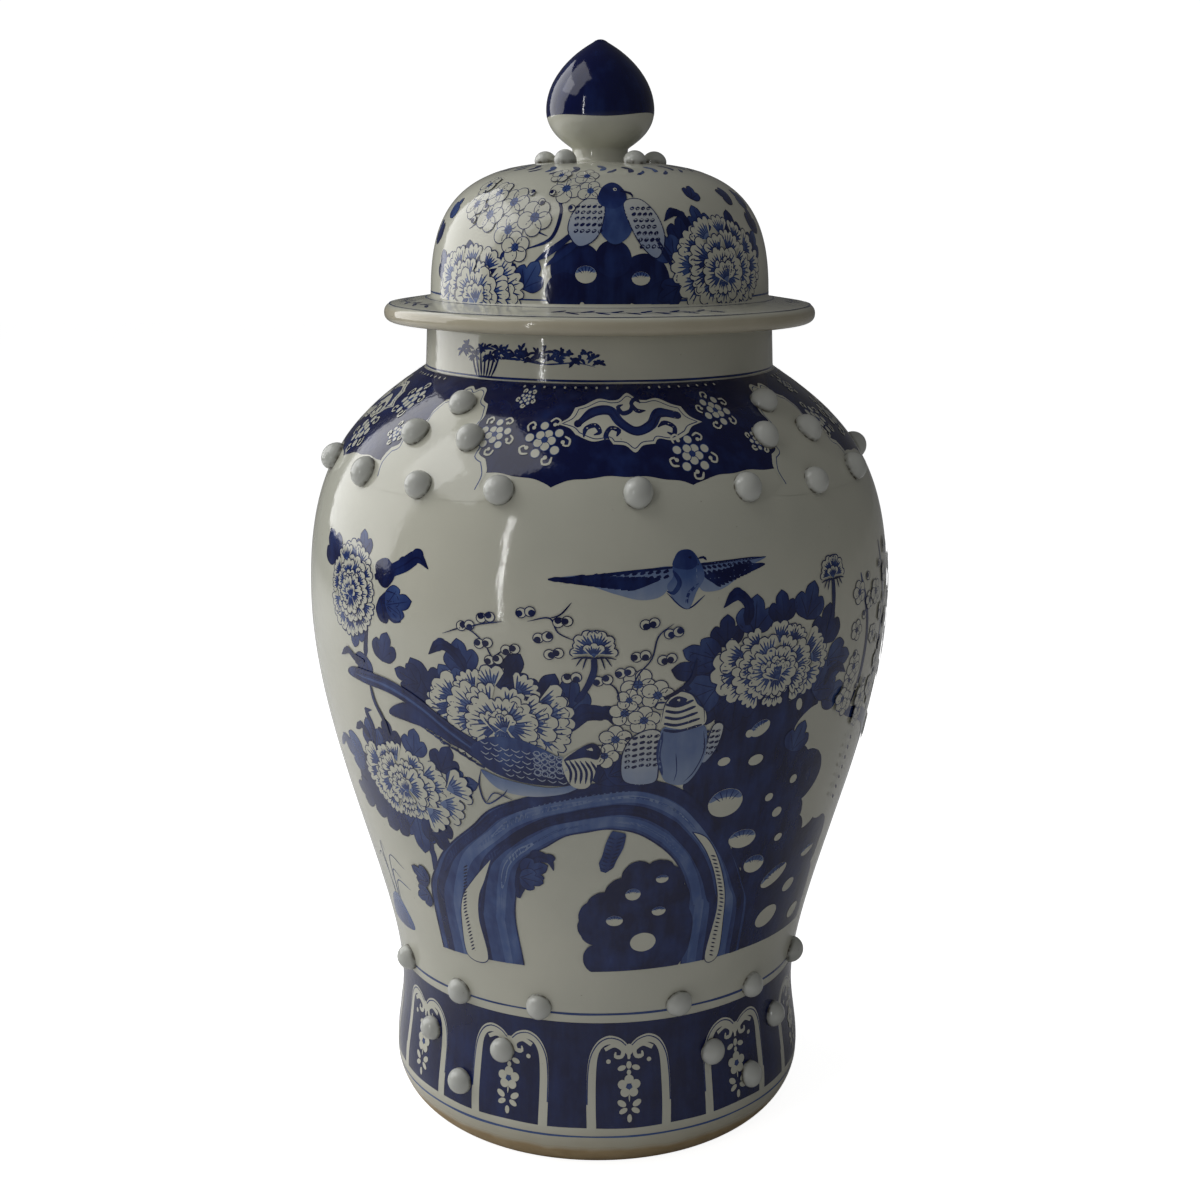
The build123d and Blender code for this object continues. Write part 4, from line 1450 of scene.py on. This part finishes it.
# %% [markdown]
# ## The collar on the shoulder
#
# A deep blue collar falls from the neck in shallow arches. White clouds are reserved in it
# under the four triangles of bosses, and between them lie a cartouche with a scroll and
# small blossoms with tendrils.

# %% Clouds, cartouches and blossoms of the collar
collar = new_drawing(touch=0.012, cell=(2.4, 2.4))
QUARTER = math.tau * ON_WALL / 4
lobe_middles = [20 + QUARTER * k for k in range(4)]


def lobe_edge(x):
    """How far the collar's lower edge hangs below its mean line."""
    turn = (x - 10 + QUARTER / 2) % QUARTER - QUARTER / 2
    arch = abs(math.sin(math.pi * (turn + 34) / 72)) ** 0.55
    return 6.5 * arch + 0.4 * math.sin(x / 3.1)


band(collar, 397, 464, ON_WALL, 0.97, edge=lobe_edge)


def cloud(drawing, place):
    """The white cloud under a triangle of bosses."""
    side = [(38, 388), (36, 396), (38, 404), (35, 411), (35, 411), (30, 414), (31, 421),
            (27, 428), (27, 428), (21, 431), (22, 438), (19, 446), (19, 446), (13, 449),
            (10, 456), (5, 458), (0, 455.5)]
    outline = [(-x, y) for x, y in side] + side[::-1][1:]
    dab(drawing, place, outline, 0.0)
    stroke(drawing, place, [(x * 0.94, y - 2.2) for x, y in outline[1:-1]], 0.6, 0.62,
           ends=(1, 1))


def tendrils(drawing, place, size):
    """A small white blossom with curling tendrils and dots round it."""
    small = then(place, at(0, 0, 1.15 * size))
    for k in range(10):
        angle, reach = math.tau * k / 10, 7.6 - 4.2 * (k % 2)
        petal_at = (reach * math.sin(angle), reach * math.cos(angle))
        dab(drawing, small, ring_of(*petal_at, 2.5), 0.0)
        stroke(drawing, small, ring_of(*petal_at, 2.3), 0.5, 0.62, closed=True)
    dab(drawing, small, ring_of(0, 0, 1.7), 0.62)
    for k in range(5):
        angle = math.tau * (k + 0.5) / 5
        x, y = 9 * math.sin(angle), 9 * math.cos(angle)
        dab(drawing, small, ring_of(x, y, 1.0), 0.0)
        turn = then(small, at(x * 1.15, y * 1.15, 1, -math.degrees(angle)))
        stroke(drawing, turn, [(-3, -1), (-1.6, 1.8), (1.4, 1.6), (1.4, -0.8), (-0.4, -0.6)],
               1.2, 0.0, ends=(0.7, 0.4))


def cartouche(drawing, place):
    """A white panel with a cusped rim and a scroll in it."""
    half = [(0, -20.2), (5, -16), (12, -15.2), (12, -15.2), (15, -12), (24, -13.4), (34, -9),
            (34, -9), (38, -5), (46, -2.5), (46, -2.5), (39, 2), (36, 9), (36, 9), (30, 11),
            (21, 15.6), (13, 14.4), (13, 14.4), (7, 15), (2.5, 18.6), (0, 20)]
    outline = half + [(-x, y) for x, y in half[::-1]][1:-1]
    dab(drawing, place, outline, 0.0)
    stroke(drawing, place, [(x * 0.93, y * 0.88) for x, y in outline], 0.6, 0.75, closed=True)
    rolls = [(-33, -2), (-24, 6), (-13, 7), (-7, -1), (2, -7), (12, -3), (19, 5), (31, 3)]
    stroke(drawing, place, rolls, 6.4, 0.8, ends=(0.5, 0.5))
    stroke(drawing, place, [(x, y + 2.6) for x, y in rolls], 1.0, 0.95, ends=(0.5, 0.5))
    stroke(drawing, place, [(x, y - 2.6) for x, y in rolls], 0.9, 0.95, ends=(0.5, 0.5))
    for x, y, turn in ((-24, -7, 20), (-3, 9, 200), (22, -6, -30), (6, 11, 120), (-12, -9, 60)):
        curl = then(place, at(x, y, 1, turn))
        stroke(drawing, curl, [(-6, -2), (-3, 3), (3, 3), (4, -2), (0, -2.5)], 3.0, 0.92)
    dab(drawing, place, ring_of(-33, -2, 2.6), 0.9)
    dab(drawing, place, ring_of(31, 3, 2.6), 0.9)


for k, middle in enumerate(lobe_middles):
    collar["height"] = 0.14
    side = (-1) ** k
    cloud(collar, at(-98 + QUARTER * k, 0))
    cartouche(collar, at(middle, 437, 1, 0, side < 0))
    for x, y, size in ((-72, 452, 0.5), (-51.5, 424, 1.05), (-83, 426, 0.9), (32, 415, 1.0),
                       (60, 442, 0.95), (78, 420, 0.55)):
        collar["height"] = 0.14
        tendrils(collar, at(middle + x, y, 1, hand.uniform(0, 72)), size)
    for x in range(-78, 80, 8):
        if abs(x) > 10:
            dab(collar, at(middle + x, 460.6), ring_of(0, 0, 0.9), 0.0)
hang(collar, "painted_collar", wall_skin, band_cobalt, "jar")


# %% [markdown]
# ## The neck and the lid
#
# Bamboo stands on the neck. The dome repeats the rock, bird and peony of the belly on a
# smaller scale, the brim has a spray of leaves, and the bud is dipped in deep blue.

# %% Bamboo on the neck
neck = new_drawing(touch=0.010, cell=(2.0, 3.0))
band(neck, 0.4, 1.5, ON_NECK, 0.8, edge=waver(0.2), rows=1)
band(neck, 23.2, 24.3, ON_NECK, 0.7, edge=waver(0.2), rows=1)


def bamboo(drawing, place):
    """A clump of stems, and the long spray of leaves above it."""
    for k in range(7):
        foot_x, top_x = -69 + 1.6 * k, -73 + 3.2 * k
        stroke(drawing, place, [(foot_x, 1), ((foot_x + top_x) / 2, 6), (top_x, 13)], 1.2, 0.86)
    for k in range(26):
        x, y = -80 + 3.2 * k, 13.5 + 2.4 * math.sin(1.7 * k) - 0.06 * k
        for turn in hand.uniform(-150, 150, 7):
            angle = math.radians(turn)
            reach = hand.uniform(4, 7) * (1 if k < 20 else 0.7)
            tip = (x + reach * math.sin(angle), y + reach * 0.7 * math.cos(angle))
            stroke(drawing, place, [(x, y), ((x + tip[0]) / 2, (y + tip[1]) / 2 + 0.6), tip],
                   1.3, hand.uniform(0.7, 0.98), ends=(0.4, 0.1))
    stroke(drawing, place, [(-60, 12), (-44, 11), (-28, 9), (-12, 10), (-2, 8)], 0.8, 0.7)


for shift, flip in ((0, False), (210, True), (420, False)):
    neck["height"] = 0.07
    bamboo(neck, at(shift, 0, 1, 0, flip))
hang(neck, "painted_neck", neck_skin, brush_cobalt, "jar")

# %% The dome
dome_drawing = new_drawing(touch=0.008, cell=(1.8, 2.0))
band(dome_drawing, 0.2, 1.1, ON_DOME, 0.55, rows=1)
band(dome_drawing, 2.4, 3.4, ON_DOME, 0.60, edge=waver(0.2), rows=1)


def dome_rock(drawing, place):
    for x, y, radius in ((-12, 19, 13.5), (4, 11, 15), (23, 13, 13.5), (7, 24, 9.5), (-18, 7, 10),
                         (33, 5, 8)):
        lobe = [(px, max(py, 0.4)) for px, py in ring_of(x, y, radius)]
        dab(drawing, place, lobe, (0.86, 0.97))
    for x, y, wide, high in ((-7, 16, 5.4, 4.4), (21, 14, 4.8, 3.4)):
        hole(drawing, place, x, y, wide, high)


def dome_bird(drawing, place):
    for path in (((-10, 40), (-22, 30), (-34, 22)), ((-8, 36), (-18, 27), (-28, 20))):
        stroke(drawing, place, path, 3.4, 0.86, ends=(1, 0.15))
    left = [(2, 54), (-8, 56), (-15, 48), (-17, 38), (-11, 30), (-2, 34), (2, 44)]
    spots = [(-13 + 3.2 * (k % 5), 52 - 3.4 * (k // 5), 1.6, -60) for k in range(25)]
    right = [(14, 54), (24, 56), (32, 47), (35, 34), (30, 24), (22, 30), (16, 42)]
    dab(drawing, place, [(-1, 55), (6, 60), (14, 57), (18, 46), (16, 36), (8, 31), (1, 36),
                         (-2, 46)], (0.52, 0.66))
    speckled_wing(drawing, place, left, spots)
    spots = [(18 + 3.2 * (k % 4) + 0.6 * (k // 4), 51 - 3.4 * (k // 4), 1.8, -60)
             for k in range(28)]
    speckled_wing(drawing, place, right, spots)
    for k in range(5):
        stroke(drawing, place, [(30 + k, 34 - 2 * k), (35 + k, 26 - 2 * k), (38 + k, 19 - 2 * k)],
               1.8, 0.9, ends=(1, 0.1))
    dab(drawing, place, [(-1, 54), (1, 64), (8, 69), (14, 65), (16, 56), (8, 50)], (0.66, 0.84))
    dab(drawing, place, ring_of(9.6, 63, 1.2), 0.0)
    dab(drawing, place, ring_of(9.8, 63, 0.6), 0.98)
    stroke(drawing, place, [(13, 62), (19, 60), (20, 57)], 1.6, 0.9, ends=(1, 0.1))


def dome_plum(drawing, place):
    stroke(drawing, place, [(-40, 28), (-26, 34), (-22, 48), (-25, 60), (-14, 72)], 1.9, 0.84)
    stroke(drawing, place, [(-28, 35), (-42, 40), (-56, 44), (-70, 52)], 1.5, 0.84)
    stroke(drawing, place, [(-56, 44), (-74, 42), (-82, 38)], 1.1, 0.84)
    for x, y, size in ((-22, 64, 9.6), (-10, 76, 8.4), (-6, 62, 7.6), (-54, 54, 9.4),
                       (-52, 38, 8.6), (-37, 45, 9.4), (-46, 29, 7.6), (-68, 46, 8.8),
                       (-70, 60, 8.2), (-84, 52, 8), (-88, 66, 7), (-30, 76, 7)):
        plum(drawing, then(place, at(x, y, 1, hand.uniform(0, 70))), size)
    for x, y in ((-35, 54), (-80, 43), (-74, 50), (-30, 60), (-44, 60), (-16, 50)):
        berry(drawing, then(place, at(x, y)), 2)


def dome_peonies(drawing, place):
    leaves(drawing, place, [(-118, 30, 12, 30, 0.88), (-112, 44, 11, -20, 0.66),
                            (110, 36, 13, -20, 0.88), (118, 50, 12, 20, 0.7),
                            (100, 56, 11, 60, 0.88), (60, 56, 10, -30, 0.8),
                            (-76, 16, 14, 10, 0.9), (-54, 12, 14, -15, 0.92),
                            (-40, 8, 14, -30, 0.66), (-98, 12, 14, 30, 0.9),
                            (44, 30, 14, -10, 0.9), (60, 36, 14, 10, 0.66),
                            (82, 32, 15, -10, 0.9), (40, 24, 14, 40, 0.66),
                            (42, 10, 12, 120, 0.9), (98, 24, 14, -40, 0.7)])
    hooked_leaf(drawing, place, [(52, 38), (48, 46), (42, 48), (36, 43)], 4.5, 0.94)
    height = drawing["height"]
    peony(drawing, then(place, at(-73, 7)), 32, 20, heart=(0.1, -0.2))
    drawing["height"] = height
    peony(drawing, then(place, at(72, 20)), 33, 25, heart=(-0.1, -0.3))


def crown_strokes(drawing, place):
    for k in range(24):
        x = math.tau * ON_DOME * k / 24
        y = 84 + 3 * math.sin(5.1 * k)
        stroke(drawing, place, [(x, y), (x + 4, y + 5), (x - 3, y + 10)], 4.4,
               0.5 + 0.3 * (k % 2), ends=(0.2, 0.3))
        stroke(drawing, place, [(x + 6, y - 3), (x + 12, y), (x + 15, y + 3)], 2.4, 0.7)


for shift, flip in ((0, False), (math.pi * ON_DOME, True)):
    whole = at(shift, 0, 1, 0, flip)
    for height, paint in ((0.08, dome_rock), (0.10, dome_peonies), (0.08, dome_plum),
                          (0.34, dome_bird)):
        dome_drawing["height"] = height
        paint(dome_drawing, whole)
dome_drawing["height"] = 0.08
crown_strokes(dome_drawing, HERE)
hang(dome_drawing, "painted_dome", dome_skin, brush_cobalt, "lid")

# %% The brim and the bud
brim_drawing = new_drawing(touch=0.012, cell=(2.4, 3.0))
band(brim_drawing, 0.6, 1.4, ON_BRIM, 0.62, edge=waver(0.2), rows=1)
band(brim_drawing, 20.6, 21.6, ON_BRIM, 0.62, edge=waver(0.2), rows=1)
for shift in (20, 185, 350, 515):
    for k in range(12):
        x, side = shift - 44 + 7.4 * k, (-1) ** k
        twig = [(x, 10.5), (x + 4, 10.5 + 2 * side), (x + 7, 10.5 + 4 * side)]
        stroke(brim_drawing, HERE, twig, 2.2, 0.8, ends=(0.4, 0.1))
    stem_line = [(shift - 46 + 10 * k, 10.5 + 0.8 * math.sin(k)) for k in range(10)]
    stroke(brim_drawing, HERE, stem_line, 0.7, 0.75)
hang(brim_drawing, "painted_brim", brim_skin, brush_cobalt, "lid")

bud_drawing = new_drawing(touch=0.02, cell=(1.2, 1.2))
cap_from = float(np.interp(crown + 23.5, finial_skin["line"][:, 1], finial_skin["length"]))
band(bud_drawing, cap_from, finial_skin["length"][-1] - 0.4, ON_BUD, 0.97,
     edge=waver(1.6), rows=60)
hang(bud_drawing, "painted_bud", finial_skin, band_cobalt, "lid")


# %% [markdown]
# ## Studio
#
# A plain pale floor, a camera a little above looking down, and soft light: a big softbox
# on the left and one higher up, a narrow tall one nearer the camera for the thin streak down
# the glaze, and a dim fill that the glaze doesn't mirror. The camera sees a white room,
# while the pot is lit by a much dimmer one.

# %% Camera
camera_data = bpy.data.cameras.new("camera")
camera_data.lens = 53.57
camera_data.sensor_width = 36
camera_data.shift_x = 0.0012
camera = bpy.data.objects.new("camera", camera_data)
camera.location = (0, -1.0031, 0.5284)
camera.rotation_euler = (Matrix.Rotation(math.radians(90 - 13.12), 3, "X")
                         @ Matrix.Rotation(math.radians(0.2), 3, "Z")).to_euler()
scene.collection.objects.link(camera)
scene.camera = camera
print("camera at", tuple(round(c, 3) for c in camera.location))

# %% Softboxes
def softbox(name, azimuth, elevation, distance, size, power, mirrored=True):
    """azimuth 0 is the camera's side, -90 the left. The box looks at the jar's belly."""
    turn, lift = math.radians(azimuth), math.radians(elevation)
    aim = Vector((0, 0, 0.3))
    away = Vector((math.sin(turn) * math.cos(lift), -math.cos(turn) * math.cos(lift),
                   math.sin(lift)))
    light = bpy.data.lights.new(name, "AREA")
    light.shape = "RECTANGLE"
    light.size, light.size_y = size
    light.energy = power
    box = bpy.data.objects.new(name, light)
    box.location = aim + away * distance
    box.rotation_euler = away.to_track_quat("Z", "Y").to_euler()
    box.visible_glossy = mirrored
    scene.collection.objects.link(box)


softbox("left_softbox", -108, 26, 1.5, (1.5, 1.5), 15)
softbox("streak_light", -36, 12, 2.2, (0.032, 1.5), 4)
softbox("top_softbox", -78, 52, 1.9, (1.3, 1.3), 8)
softbox("front_fill", 25, 50, 2.4, (1.4, 1.0), 2, mirrored=False)

# %% The room
ROOM_LIGHT, ROOM_SEEN, ROOM_NOT_MIRRORED = 0.13, 1.05, 0.06
room = bpy.data.worlds.new("studio")
room.use_nodes = True
tree = room.node_tree
seen = tree.nodes.new("ShaderNodeLightPath")
background = tree.nodes["Background"]
level = tree.nodes.new("ShaderNodeMix")
level.data_type = "FLOAT"
level.inputs[2].default_value = ROOM_LIGHT
level.inputs[3].default_value = ROOM_SEEN
tree.links.new(seen.outputs["Is Camera Ray"], level.inputs[0])
mirrored = maths(tree, "MULTIPLY", seen.outputs["Is Glossy Ray"], ROOM_NOT_MIRRORED)
tree.links.new(maths(tree, "SUBTRACT", level.outputs[0], mirrored),
               background.inputs["Strength"])
background.inputs["Color"].default_value = (1, 1, 1, 1)
scene.world = room
scene.view_settings.view_transform = "Standard"

# %% The floor, and done
bm = bmesh.new()
bmesh.ops.create_grid(bm, x_segments=1, y_segments=1, size=6)
mesh = bpy.data.meshes.new("floor")
bm.to_mesh(mesh)
bm.free()
floor = bpy.data.objects.new("floor", mesh)
scene.collection.objects.link(floor)
pale = bpy.data.materials.new("pale_floor")
pale.use_nodes = True
paper = pale.node_tree.nodes["Principled BSDF"]
paper.inputs["Base Color"].default_value = (0.8, 0.8, 0.8, 1)
paper.inputs["Roughness"].default_value = 0.8
paper.inputs["Emission Color"].default_value = (1, 1, 1, 1)
seen = pale.node_tree.nodes.new("ShaderNodeLightPath")
glow = maths(pale.node_tree, "MULTIPLY", seen.outputs["Is Camera Ray"], 0.90)
pale.node_tree.links.new(glow, paper.inputs["Emission Strength"])
mesh.materials.append(pale)
